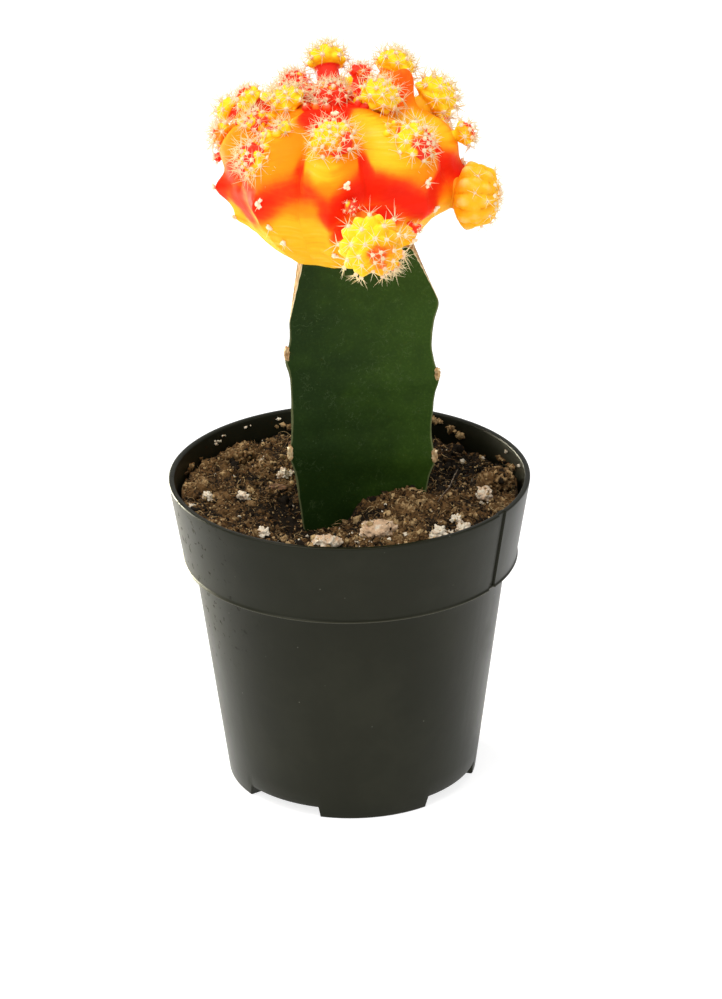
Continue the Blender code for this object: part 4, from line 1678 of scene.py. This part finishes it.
@dataclass
class Scion:
    """The ribbed globe without leaf green that is grafted on the stem.

    The crown and the keel have their height and how square they are. The grooves' depths are shares of
    the reach, below the girdle and added above it. The girdle has its height at a crest, how much
    higher it is in a groove, and its soft edge. The wedge and the crown's gap are paler places.
    """

    radius: float = 21.5 * MM
    crown: tuple[float, float] = (12.6 * MM, 2.45)
    keel: tuple[float, float] = (18.0 * MM, 1.45)
    ribs: tuple[ScionRib, ...] = (
        ScionRib(-154, -135, 0.98, 0.5, 0.9),
        ScionRib(-116, -97, 0.98, 0.9, 0.5),
        ScionRib(-78, -60, 0.97, 0.9, 0.7),
        ScionRib(-41, -20, 1.0, 0.8, 0.7),
        ScionRib(-4, 14, 1.0, 0.95, 1.0),
        ScionRib(45, 68, 1.0, 1.05, 1.0),
        ScionRib(88, 108, 0.98, 0.9, 0.6),
        ScionRib(128, 147, 0.98, 0.4, 0.9),
        ScionRib(167, 186, 1.0, 0.9, 0.6),
    )
    areoles: tuple[tuple[float, float], ...] = (
        (-78, -2), (-38, 1), (-36, -12), (-32, -23), (4, 13), (45, 9), (53, -7), (-3, 62),
        (88, 5), (88, -16), (48, -26), (128, -2), (128, -20), (167, 0), (167, -20),
        (-154, -2), (-154, -22), (-116, 0), (-116, -18), (-78, -20), (-2, -28),
    )
    groove_depths: tuple[float, float] = (0.11, 0.03)
    girdle: tuple[float, float] = (-2.5, 12.0)
    girdle_edge: tuple[float, float] = (0.5, 15.5)
    wedge: tuple[float, float] = (-12.0, 5.0)
    crown_gap: tuple[float, float] = (106.0, 24.0)
    bands: tuple[SkinBand, ...] = (
        SkinBand(27, 13, 0.75, 0.4),
        SkinBand(5.5, 6, -1.25, 0.45),
        SkinBand(-15, 9, -0.45, 1.0),
    )
    mounds: tuple[Mound, ...] = (
        Mound(116, 51, 4.0, 22),
        Mound(101, 57, 4.6, 12),
        Mound(80, 43, -2.0, 12),
        Mound(-140, 60, 2.0, 34),
        Mound(78, -8, 3.0, 15),
    )
    mound_height: float = 11.0
    chin: tuple[float, float] = (7.0, 5.0)
    aprons: tuple[RedApron, ...] = (
        RedApron(1, 6, (-26, -14), (-8, 0), 0.8),
        RedApron(20, 15, (-17, -9), (-2, 6), 1.0),
        RedApron(-61, 12, (-26, -14), (0, 8), 0.85),
    )
    columns: int = 324
    rows: int = 180

    def __post_init__(self) -> None:
        """Places the centre so that the globe fills its construction node's box."""
        low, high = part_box("scion")
        azimuth, elevation = np.meshgrid(np.arange(0, 360, 1.0), np.arange(-40, 90, 1.0))
        own = heading(azimuth, elevation) * self.distance(azimuth, elevation)[..., None]
        own = own.reshape(-1, 3)
        middle = (own.min(0) + own.max(0)) / 2
        self.centre = np.array((low + high) / 2) - middle
        self.centre[2] = high.z - own[:, 2].max()
        self.floor = low.z - self.centre[2]

    def crest_distance(self, elevation: Array) -> Array:
        """Measures from the centre to the crest of the ribs.

        Args:
            elevation: where, in degrees.

        Returns:
            The distance at each elevation.
        """
        half = np.where(elevation >= 0, self.crown[0], self.keel[0])
        power = np.where(elevation >= 0, self.crown[1], self.keel[1])
        angle = np.radians(np.abs(elevation))
        across, along = np.cos(angle) / self.radius, np.sin(angle) / half
        return (across**power + along**power) ** (-1 / power)

    def phase(self, azimuth: Array) -> Array:
        """Counts ribs: whole at a crest and a half more at the groove after it.

        Args:
            azimuth: where, in degrees.

        Returns:
            The count at each azimuth.
        """
        turns = [angle for rib in self.ribs for angle in (rib.crest, rib.groove)]
        turns.append(self.ribs[0].crest + 360)
        wrapped = (azimuth - turns[0]) % 360 + turns[0]
        return np.interp(wrapped, turns, np.arange(len(turns)) / 2)

    def between(self, phase: Array, crests: list[float], grooves: list[float]) -> Array:
        """Blends numbers given at the crests and grooves.

        Args:
            phase: the count of ribs at each point.
            crests: a number for each crest.
            grooves: a number for each groove.

        Returns:
            The blend at each point.
        """
        values = np.array([value for pair in zip(crests, grooves) for value in pair] + [crests[0]])
        share = phase % 0.5 * 2
        before = (phase * 2).astype(int).clip(0, len(values) - 2)
        low, high = values[before], values[before + 1]
        return low + (high - low) * share * share * (3 - 2 * share)

    def groove_share(self, phase: Array, elevation: Array) -> Array:
        """Steps from 0 on a crest to 1 in a groove: full above the girdle and keen below it.

        Args:
            phase: the count of ribs at each point.
            elevation: of each point, in degrees.

        Returns:
            The share at each point.
        """
        keen = np.abs(np.sin(math.pi * phase)) ** 0.8
        full = 1 - np.abs(np.cos(math.pi * phase)) ** 0.6
        return keen + (full - keen) * eased(elevation, -4, 14)

    def distance(self, azimuth: Array, elevation: Array) -> Array:
        """Measures from the centre to the skin, with full bulges over a waist.

        Args:
            azimuth: of each point, in degrees.
            elevation: of each point, in degrees.

        Returns:
            The distance to each point.
        """
        phase = self.phase(azimuth)
        groove = self.groove_share(phase, elevation)
        girth = self.between(phase, [r.girth for r in self.ribs], [1.0] * len(self.ribs))
        level = np.clip(np.cos(np.radians(elevation)), 0, 1)
        low, more = self.groove_depths
        depth = low * np.clip(1 + elevation / 60, 0.25, 1) + more * eased(elevation, 0, 15) * level
        reach = self.crest_distance(elevation) * girth * (1 - depth * level**0.7 * groove)
        crest = 1 - np.abs(np.sin(math.pi * phase)) ** 1.2
        swell = 0 * reach
        for band in self.bands:
            share = band.even + (1 - band.even) * crest
            swell = swell + band.rise * hump(elevation, band.elevation, band.spread) * share
        return reach + swell * MM

    def skin(self, azimuth: Array, elevation: Array) -> Array:
        """Measures from the centre to the skin, with chins under areoles and mounds under offsets.

        Args:
            azimuth: of each point, in degrees.
            elevation: of each point, in degrees.

        Returns:
            The distance to each point.
        """
        rise = 0.0 * azimuth
        for rib, height in self.areoles:
            size = 0.81 if height < 11 else 0.27
            level = hump(elevation, height - 1, self.chin[1])
            rise = rise + size * hump(turned(azimuth, rib), 0, self.chin[0]) * level
        for mound in self.mounds:
            level = hump(elevation, mound.elevation, self.mound_height)
            rise = rise + mound.rise * hump(turned(azimuth, mound.azimuth), 0, mound.spread) * level
        return self.distance(azimuth, elevation) + rise * MM

    def point(self, azimuth: float, elevation: float) -> Array:
        """The place on the skin at an azimuth and elevation."""
        reach = float(self.skin(np.array([azimuth]), np.array([elevation]))[0])
        return self.centre + heading(azimuth, elevation) * reach

    def redness(self, azimuth: Array, elevation: Array) -> Array:
        """Reddens a girdle under the bulges, the grooves, the crown and some aprons.

        Args:
            azimuth: of each point, in degrees.
            elevation: of each point, in degrees.

        Returns:
            How red each point is, from about 0 to 1.
        """
        phase = self.phase(azimuth)
        groove = np.abs(np.sin(math.pi * phase))
        reds = [r.crest_red for r in self.ribs], [r.groove_red for r in self.ribs]
        strength = self.between(phase, *reds)
        middle = self.girdle[0] + self.girdle[1] * groove**1.3
        girdle = 1 - eased(np.abs(elevation - middle), *self.girdle_edge)
        height = 10 + 13 * strength
        narrow = 0.80 + 0.16 * eased(elevation, 6, 24)
        seam = eased((groove - narrow) / (1 - narrow), 0.0, 1.0) * eased(elevation, 0, 8)
        seam = seam * (1 - eased(elevation, height, height + 14))
        lobes = np.cos(np.radians(3 * (azimuth + 20)))
        top = eased(elevation, 50 - 13 * lobes, 64 - 13 * lobes)
        top = top * (1 - 0.75 * hump(azimuth, *self.crown_gap))
        wedge = hump(azimuth, *self.wedge) * eased(-elevation, -12, 0)
        aprons = [apron.cover(azimuth, elevation) for apron in self.aprons]
        red = np.maximum.reduce([girdle * strength, 0.85 * seam * strength, 1.05 * top, *aprons])
        return red - 0.55 * wedge

    def yellowness(self, azimuth: Array, elevation: Array) -> Array:
        """Yellows the keel, and paints a yellow highlight on the left flank of each bulge, most at the
        front.

        Args:
            azimuth: of each point, in degrees.
            elevation: of each point, in degrees.

        Returns:
            How yellow each point is where it isn't red, from about 0 to 1.
        """
        # painted highlight: yellower on the left flank of every bulge, more towards the front
        flank = 0.5 + 0.5 * np.cos(2 * math.pi * (self.phase(azimuth) - 0.78))
        bulge = flank * eased(elevation, 10, 22) * (1 - eased(elevation, 55, 68))
        keel = 1 - eased(elevation, -14, 0)
        left = 0.5 + 0.5 * np.cos(np.radians(azimuth - 15))
        return 0.72 * keel + bulge * (0.15 + 0.65 * left) + 0.08

    def build_skin(self) -> None:
        """Makes the globe, flat where it meets the stem."""
        elevation = np.linspace(-89.0, 89.6, self.rows)
        azimuth = np.arange(self.columns) * 360 / self.columns - 180
        azimuth, elevation = np.meshgrid(azimuth, elevation)
        way = heading(azimuth, elevation).reshape(-1, 3)
        azimuth, elevation = azimuth.ravel(), elevation.ravel()
        phase = self.phase(azimuth)
        off_crest = np.sqrt(((phase + 0.5) % 1 - 0.5) ** 2 + 0.012)
        wrinkle = 0.16 * rough(way * 20, 3.6, 3) + 0.10 * rough(way * 20, 9, 2)
        reach = self.skin(azimuth, elevation) + wrinkle * MM
        local = way * reach[:, None]
        local[:, 2] = np.maximum(local[:, 2], self.floor)
        points, faces = lofted(local.reshape(self.rows, self.columns, 3))
        patch = rough(way * 20, 6.5, 3)
        red = self.redness(azimuth, elevation) + 0.16 * patch
        yellow = self.yellowness(azimuth, elevation) - 0.20 * rough(way * 20 + 50, 7.0, 3)
        rose = eased(-azimuth, 35, 75) * (1 - eased(-azimuth, 110, 150)) * (1 - eased(elevation, -16, -6))
        ends = np.array([0.0, 1.0])
        fall = np.where(elevation > 8, -16.0, 9.0)
        sketch = MeshSketch()
        sketch.add(
            points + self.centre,
            *faces,
            red=np.append(red, ends),
            yellow=np.append(yellow, 1 - ends),
            rose=np.append(rose, 0 * ends),
            across=np.append((elevation + fall * off_crest) / 2.6, 0 * ends),
            along=np.append(azimuth / 34, 0 * ends),
            rib=np.append(np.floor(phase + 0.5) * 3.7, 0 * ends),
        )
        settle(sketch.piece("scion_globe", ScionSkin().material()), "scion_skin", "scion")

    def build_areoles(self) -> None:
        """Makes the felt and short spines on the ribs' chins."""
        bed = SpineBed(seed=31, splay=20)
        for azimuth, elevation in self.areoles:
            at, below = self.point(azimuth, elevation), self.point(azimuth, elevation - 4)
            down = unit(below - at)
            side = np.cross(down, heading(azimuth, elevation))
            outward = unit(np.cross(side, down))
            bed.felt(at, outward, down, 0.62 * MM, 3)
        settle(bed.piece("scion_areoles"), "spine")


# The offsets


class Tint(Enum):
    """How an offset is coloured: its base redness, and what the crown, one side and chance add."""

    LEMON = (-0.50, 0.0, 0.0, 0.10)
    AMBER = (-0.50, 0.0, 0.1, 0.10)
    RED_HEARTED = (-1.75, 2.25, 0.30, 0.15)
    HALVED = (0.25, 0.35, 0.9, 0.35)
    FLECKED = (0.15, 0.45, 0.4, 0.75)
    TIPPED = (-0.15, 0.0, 1.1, 0.25)
    SCARLET = (1.10, 0.0, 0.3, 0.30)


@dataclass(frozen=True)
class PlantletLook:
    """How one offset looks.

    Its tint, the way its red side points, the way its crown leans from its neck, the pitch and
    relief of its tubercles, the length of its spines in mm, and how red its neck is.
    """

    tint: Tint
    towards: Triple = (0.0, 0.0, -1.0)
    leaning: Triple = (0.0, 0.0, 0.0)
    pitch: float = 2.3
    relief: float = 0.27
    spines: float = 2.0
    neck_red: float = 0.8
    blush: float = 0.4


LOOKS = {
    "front_low": PlantletLook(Tint.RED_HEARTED, (0.8, 0, -0.5), (0.02, -0.1, 0.12), 3.3, 0.32, 2.2, 0.6),
    "right_low": PlantletLook(Tint.AMBER, (0, 0, 1), (0.1, 0, 0.15), 2.9, 0.24, 1.6, 0.33),
    "centre": PlantletLook(Tint.HALVED, (0.6, -0.1, -0.8), pitch=2.3, spines=2.3),
    "centre_right": PlantletLook(Tint.HALVED, (0.7, 0, -0.6), (0.2, 0, 0), 2.3, spines=2.2),
    "left_low": PlantletLook(Tint.FLECKED, (-0.3, 0, 0.6), (0.05, 0, -0.3), 2.0, spines=2.1),
    "left_mid": PlantletLook(Tint.FLECKED, (0, 0, -0.4), pitch=1.8, spines=1.8, blush=0.8),
    "left_upper": PlantletLook(Tint.LEMON, leaning=(0.3, -0.3, 0), pitch=2.3, spines=2.3),
    "left_shoulder": PlantletLook(Tint.LEMON, pitch=2.2, spines=2.0, blush=0.8),
    "left_star": PlantletLook(Tint.LEMON, pitch=1.5, spines=1.8),
    "left_outer": PlantletLook(Tint.TIPPED, (-1, 0, 0.2), pitch=1.9),
    "left_tip": PlantletLook(Tint.TIPPED, (-0.8, 0, 0.6), pitch=1.9, spines=1.5),
    "top_left": PlantletLook(Tint.LEMON, pitch=2.2, spines=2.2, neck_red=1.0),
    "top_right": PlantletLook(Tint.LEMON, pitch=2.3, spines=2.3, neck_red=0.55),
    "upper_middle": PlantletLook(Tint.LEMON, leaning=(0, -0.4, 0), pitch=2.5, spines=2.3, neck_red=0.3),
    "upper_right": PlantletLook(Tint.LEMON, (1, 0, 0.3), (0, -0.3, 0), 2.5, 0.27, 2.2, 0.3, 0.6),
    "right_upper": PlantletLook(Tint.TIPPED, (0.8, 0, 0.6), pitch=1.9, spines=1.6, neck_red=0.3),
    "crown": PlantletLook(Tint.SCARLET, pitch=1.8, spines=1.9, blush=0.8),
    "top_middle": PlantletLook(Tint.SCARLET, pitch=1.8, spines=2.0, blush=0.9),
    "top_behind": PlantletLook(Tint.SCARLET, pitch=1.7, spines=1.6, blush=0.9),
    "left_bud": PlantletLook(Tint.SCARLET, pitch=1.4, spines=1.0),
    "low_bud": PlantletLook(Tint.HALVED, pitch=1.4, spines=1.6, neck_red=0.2),
    "front_bud": PlantletLook(Tint.SCARLET, pitch=1.4, spines=0.7, blush=0.9),
    "right_bud": PlantletLook(Tint.SCARLET, pitch=1.3, spines=0.9),
}


@dataclass
class Plantlet:
    """A small offset on a neck: rings of tubercles, each tipped with wool and spines.

    The girth share and the CAD's flatness fit a globe to the construction node. Angles are from the
    crown, in degrees.
    """

    name: str
    look: PlantletLook
    scion: Scion
    number: int
    cad_flatness: float = 0.92
    girth_share: float = 0.975
    lap: float = 5.2
    swelling: float = 1.04
    flatness: float = 0.86
    neck_polar: float = 145.0
    last_ring: float = 118.0
    spine_limit: float = 106.0
    amber_limit: float = 92.0
    root_depth: float = 2.6 * MM
    neck_rings: int = 8

    def __post_init__(self) -> None:
        """Reads the axis, radius and centre from the construction node, and sets the tubercles."""
        points = node_points(self.name)
        centre = self.scion.centre
        guess = unit(points.mean(0) - centre)
        pole = points[np.argmax(points @ guess)]
        self.axis = unit(pole - centre)
        along = (points - centre) @ self.axis
        girth = np.linalg.norm(points - centre - along[:, None] * self.axis, axis=1).max()
        self.radius = girth / self.girth_share
        self.centre = pole - self.axis * self.radius * self.cad_flatness
        self.radius *= self.swelling
        azimuth = math.degrees(math.atan2(self.axis[0], -self.axis[1]))
        elevation = math.degrees(math.asin(self.axis[2]))
        skin = np.linalg.norm(self.scion.point(azimuth, elevation) - centre)
        self.lift = np.linalg.norm(self.centre - centre) - skin
        self.across, self.beside = square_to(self.axis)
        self.chance = np.random.default_rng(200 + self.number)
        self.set_tubercles()

    def set_tubercles(self) -> None:
        """Sets rings of tubercles round the crown, each ring half a step on from the last."""
        chance = self.chance
        pitch = self.look.pitch * MM / self.radius
        self.around = around = max(5, round(self.lap / pitch))
        crown = unit(self.axis + np.array(self.look.leaning))
        self.first, self.second = first, second = square_to(crown)
        polar = 0.36 * pitch
        tips, widths, rings = [], [], []
        ring = 0
        while polar < math.radians(self.last_ring):
            full = polar > 0.35 * pitch * around / 2 / math.pi + 0.1
            count = max(3, around if full else around // 2)
            gap = 2 * math.pi * math.sin(polar) / count
            width = 0.74 * pitch * min(1, 0.40 + 0.66 * gap / pitch)
            for i in range(count):
                turn = 2 * math.pi * (i + 0.5 * (ring % 2) + chance.normal(0, 0.07)) / count + self.number
                lean = polar + chance.normal(0, 0.05) * pitch
                level = math.cos(turn) * first + math.sin(turn) * second
                tips.append(math.sin(lean) * level + math.cos(lean) * crown)
                widths.append(width * chance.uniform(0.92, 1.08))
                rings.append(polar)
            ring += 1
            polar += pitch * min(0.86, 0.55 + 0.11 * ring)
        self.tips, self.widths, self.rings = np.array(tips), np.array(widths), np.array(rings)
        self.heights = (self.widths / self.widths.max()) ** 0.8
        base, heart, side, patches = self.look.tint.value
        lean = self.tips @ unit(np.array(self.look.towards))
        self.reds = base + heart * np.cos(self.rings) + side * lean
        self.reds = self.reds + patches * chance.normal(0, 1, len(self.tips))

    def grid(self) -> tuple[int, int]:
        """How many rows and columns the globe has, by its size."""
        columns = int(np.clip(self.radius / MM * 19, 40, 100)) // 4 * 4
        return int(columns * 0.62), columns

    def outline(self, rows: int) -> tuple[Array, Array, Array]:
        """The section from the root up to the crown.

        Args:
            rows: how many points the globe has.

        Returns:
            The radius and height of each point over the offset's radius, and its polar angle.
        """
        body = 1 - self.look.relief
        neck_polar = self.neck_polar - 2.6 * max(0.0, self.lift / MM - 1)
        polar = np.radians(np.linspace(neck_polar, 0.8, rows))
        radius, height = body * np.sin(polar), body * self.flatness * np.cos(polar)
        root = min(-(self.lift + self.root_depth) / self.radius, height[0] - 0.1)
        climb = np.linspace(0, 1, self.neck_rings + 1)[:-1]
        flare = 0.12 + 0.05 * self.lift / MM
        neck = radius[0] * (1 + flare * (1 - climb) ** 2)
        stem = root + (height[0] - root) * climb
        radius, height = np.append(neck, radius), np.append(stem, height)
        return radius, height, np.append(np.full(self.neck_rings, math.pi), polar)

    def relief(self, ways: Array) -> tuple[Array, Array]:
        """The tubercles at directions from the centre.

        Args:
            ways: unit vectors.

        Returns:
            How far the skin rises, from 0 to 1, and how red the nearest tubercle is.
        """
        angles = np.arccos(np.clip(ways @ self.tips.T, -1, 1))
        cones = np.clip(1 - (angles / self.widths) ** 1.15, 0, 1) * self.heights
        rise = cones.max(1)
        if self.look.tint is Tint.AMBER:
            first, second = ways @ self.first, ways @ self.second
            turn = np.arctan2(second, first) - self.number
            ribs = np.abs(np.cos(0.5 * self.around * turn)) ** 0.8
            level = np.hypot(first, second)
            rise = 0.55 * rise + 0.55 * ribs * level
        weight = np.exp(-angles / self.widths * 5)
        return rise, (weight * self.reds).sum(1) / weight.sum(1)

    def build_skin(self, material: Material) -> None:
        """Makes the offset's flesh.

        Args:
            material: its material.
        """
        rows, columns = self.grid()
        radius, height, polar = self.outline(rows)
        turn = 2 * math.pi * np.arange(columns) / columns
        rim = circle(turn, self.across, self.beside)
        local = radius[:, None, None] * rim + height[:, None, None] * self.axis
        ways = np.sin(polar)[:, None, None] * rim + np.cos(polar)[:, None, None] * self.axis
        local, ways = local.reshape(-1, 3), ways.reshape(-1, 3)
        degrees = np.degrees(np.repeat(polar, columns))
        rise, red = self.relief(ways)
        rise = rise * (1 - eased(degrees, 112, self.neck_polar))
        local = local + ways * (rise * self.look.relief)[:, None]
        neck = eased(degrees, 104, 132)
        red = red * (1 - neck) + neck * self.look.neck_red
        points, faces = lofted(local.reshape(-1, columns, 3) * self.radius + self.centre)
        sketch = MeshSketch()
        amber = float(self.look.tint is Tint.AMBER) + 0 * red
        if self.look.tint is Tint.RED_HEARTED:
            amber = eased(ways @ unit(np.array([1, 0, -0.4])), -0.3, 0.6)
        values = {"amber": np.append(amber, [0.0, amber[-1]])}
        values["red"] = np.append(red, [self.look.neck_red, red[-1]])
        values["rise"] = np.append(rise + 0.25 * neck, [0.0, rise[-1]])
        sketch.add(points, *faces, **values)
        settle(sketch.piece(f"{self.name}_flesh", material), "offset_skin", self.name)

    def build_spines(self) -> None:
        """Makes the wool and spines on the offset's tubercles."""
        look = self.look
        bed = SpineBed(seed=100 + self.number)
        amber = look.tint is Tint.AMBER
        small = min(1, self.radius / (2.6 * MM))
        limit = self.amber_limit if amber else self.spine_limit
        for tip, height, polar in zip(self.tips, self.heights, self.rings):
            facing = float(tip @ self.axis)
            if facing < -0.32 or polar > math.radians(limit):
                continue
            lift = facing * (self.flatness - 1) * (1 - look.relief)
            rise = self.relief(tip[None])[0][0] * look.relief
            local = tip * (1 - look.relief + rise) + lift * self.axis
            size = (0.20 + 0.20 * height) * MM * small
            spines = 4 if height < 0.62 else 6 if height < 0.85 else 8
            length = look.spines * MM * (0.35 + 0.65 * height**2)
            if amber and polar > math.radians(40):
                spines, size, length = 5, 0.65 * size, 1.05 * length
                if self.chance.uniform() < 0.2:
                    continue
            bed.areole(local * self.radius + self.centre, tip, size, spines, length, look.blush)
        settle(bed.piece(f"{self.name}_spines"), "spine")


@dataclass(frozen=True)
class Crowd:
    """A patch of tiny offsets: its middle and spreads in degrees, their count and their redness."""

    azimuth: float
    elevation: float
    wide: float
    tall: float
    count: int
    red: float


@dataclass
class Crowds:
    """The tubercles of offsets that have only just started, crowded between the larger ones."""

    scion: Scion
    patches: tuple[Crowd, ...] = (
        Crowd(-55, 28, 4, 3, 7, 0.9),
        Crowd(-46, 32, 4, 4, 7, -0.2),
        Crowd(-55, 41, 7, 3, 8, 0.8),
        Crowd(-84, 33, 7, 4, 8, 0.1),
        Crowd(-118, 62, 14, 6, 13, 0.9),
        Crowd(-60, 70, 12, 4, 9, 1.0),
        Crowd(110, 72, 24, 5, 12, 0.9),
        Crowd(-2, 44, 5, 3, 5, 0.4),
        Crowd(47, 38, 6, 3, 5, 0.4),
    )

    def build(self, flesh: Material) -> None:
        """Makes their flesh and their spines.

        Args:
            flesh: the material of the flesh.
        """
        chance = np.random.default_rng(41)
        sketch, bed = MeshSketch(), SpineBed(seed=42)
        shape = ball(3)
        for patch in self.patches:
            for _ in range(patch.count):
                azimuth = chance.normal(patch.azimuth, patch.wide)
                elevation = chance.normal(patch.elevation, patch.tall)
                outward = unit(heading(azimuth, elevation) + chance.normal(0, 0.22, 3))
                across, beside = square_to(outward)
                size = chance.uniform(0.55, 0.95) * MM
                local = shape[0] * [0.85, 0.85, 1.25] * (1 - 0.25 * shape[0][:, 2:].clip(0, 1))
                at = self.scion.point(azimuth, elevation) + 0.2 * size * outward
                way = laid_along(local, across, beside, outward)
                red = patch.red + chance.normal(0, 0.35)
                # painted highlight on the tiny offsets' tips, painted shade lower down
                rise = 0.4 + 0.6 * shape[0][:, 2].clip(0, 1)
                sketch.add(at + way * size, shape[1], red=red, rise=rise, amber=0.0)
                tip = at + 0.95 * size * outward
                bed.areole(tip, outward, 0.32 * size, 3, chance.uniform(0.8, 1.5) * MM, 0.8)
        settle(sketch.piece("young_offsets", flesh), "offset_skin")
        settle(bed.piece("young_spines"), "spine")


def default_look(number: int) -> PlantletLook:
    """The look of an offset on the side away from the front."""
    tints = (Tint.FLECKED, Tint.LEMON, Tint.HALVED, Tint.RED_HEARTED)
    return PlantletLook(tints[number % len(tints)], (0.3, 0.8, -0.5), neck_red=0.5)


# The studio


@dataclass(frozen=True)
class SoftLight:
    """A square soft light: its side, power in watts, place, aim, colour and spread in degrees."""

    name: str
    side: float
    power: float
    place: Triple
    aim: Triple = (0.0, 0.0, 0.08)
    tint: Colour = (1.0, 1.0, 1.0)
    spread: float = 180.0

    def build(self) -> None:
        """Makes the light, which the camera doesn't see."""
        data = bpy.data.lights.new(self.name, "AREA")
        data.color = self.tint
        data.size = self.side
        data.energy = self.power
        data.spread = math.radians(self.spread)
        light = bpy.data.objects.new(self.name, data)
        light.location = self.place
        light.rotation_euler = (Vector(self.aim) - Vector(self.place)).to_track_quat("-Z", "Y").to_euler()
        light.visible_camera = False
        bpy.context.scene.collection.objects.link(light)


@dataclass
class Studio:
    """A pale floor, soft lights and the camera.

    The camera's angles are in degrees, and its shift, drop and reach are in rim radii.
    """

    pot: Pot
    elevation: float = 24.1
    roll: float = -0.63
    aside: float = 0.0629
    drop: float = 0.1594
    reach: float = 22.0
    lens: float = 143.22
    room: float = 0.55
    floor_half: float = 2.5
    lights: tuple[SoftLight, ...] = (
        SoftLight("overhead", 0.7, 5.0, (-0.15, -0.1, 0.85)),
        SoftLight("key", 0.45, 2.2, (-0.55, -0.55, 0.55)),
        SoftLight("fill", 0.5, 0.9, (0.6, -0.35, 0.40)),
        SoftLight("card", 0.12, 0.22, (-0.12, 0.11, 0.028), (0, 0, 0.024), (1.0, 0.95, 0.74), 58.0),
    )

    def build_camera(self) -> None:
        """Looks down on the pot from the front."""
        lift, roll = math.radians(self.elevation), math.radians(self.roll)
        rim = self.pot.rim_radius
        back = Vector((0, -math.cos(lift), math.sin(lift)))
        target = Vector((self.aside * rim, 0, self.pot.height - self.drop * rim))
        right = Vector((1, 0, 0))
        up = back.cross(right)
        tilted = math.cos(roll) * right + math.sin(roll) * up
        upright = math.cos(roll) * up - math.sin(roll) * right
        matrix = Matrix((tilted, upright, back)).transposed().to_4x4()
        matrix.translation = target + back * self.reach * rim
        data = bpy.data.cameras.new("camera")
        data.lens = self.lens
        data.clip_start = 0.01
        camera = bpy.data.objects.new("camera", data)
        camera.matrix_world = matrix
        bpy.context.scene.collection.objects.link(camera)
        bpy.context.scene.camera = camera

    def build_lights(self) -> None:
        """Lights the room and hangs the soft lights in it."""
        scene = bpy.context.scene
        scene.world = bpy.data.worlds.new("studio")
        scene.world.use_nodes = True
        background = scene.world.node_tree.nodes["Background"]
        background.inputs["Color"].default_value = (1, 1, 1, 1)
        background.inputs["Strength"].default_value = self.room
        for light in self.lights:
            light.build()
        scene.view_settings.view_transform = "Standard"

    def build_floor(self) -> None:
        """Makes the floor that the pot stands on."""
        shape = bmesh.new()
        bmesh.ops.create_grid(shape, x_segments=4, y_segments=4, size=self.floor_half)
        mesh = mesh_from(shape, "floor")
        mesh.materials.append(StudioPaper().material())
        linked("floor", mesh)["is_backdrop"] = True

    def build(self) -> None:
        """Sets up the camera, the lights and the floor."""
        self.build_camera()
        self.build_lights()
        self.build_floor()


def main() -> None:
    """Builds the studio, the pot, the mix, the stem, the scion and its offsets."""
    logging.basicConfig(level=logging.INFO, format="%(message)s")
    pot = Pot.from_frame()
    Studio(pot).build()
    pot.build()
    stem = Rootstock()
    stem.build_skin()
    stem.build_stubs()
    PottingMix(pot, stem.axis).build()
    scion = Scion()
    scion.build_skin()
    scion.build_areoles()
    flesh = PlantletSkin().material()
    Crowds(scion).build(flesh)
    for number, name in enumerate(nodes_of("offset")):
        look = LOOKS.get(name.removeprefix("offset_"), default_look(number))
        plantlet = Plantlet(name, look, scion, number)
        plantlet.build_skin(flesh)
        plantlet.build_spines()
    total = sum(len(piece.data.polygons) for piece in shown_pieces())
    LOG.info("faces in all: %d", total)


if __name__ == "__main__":
    main()
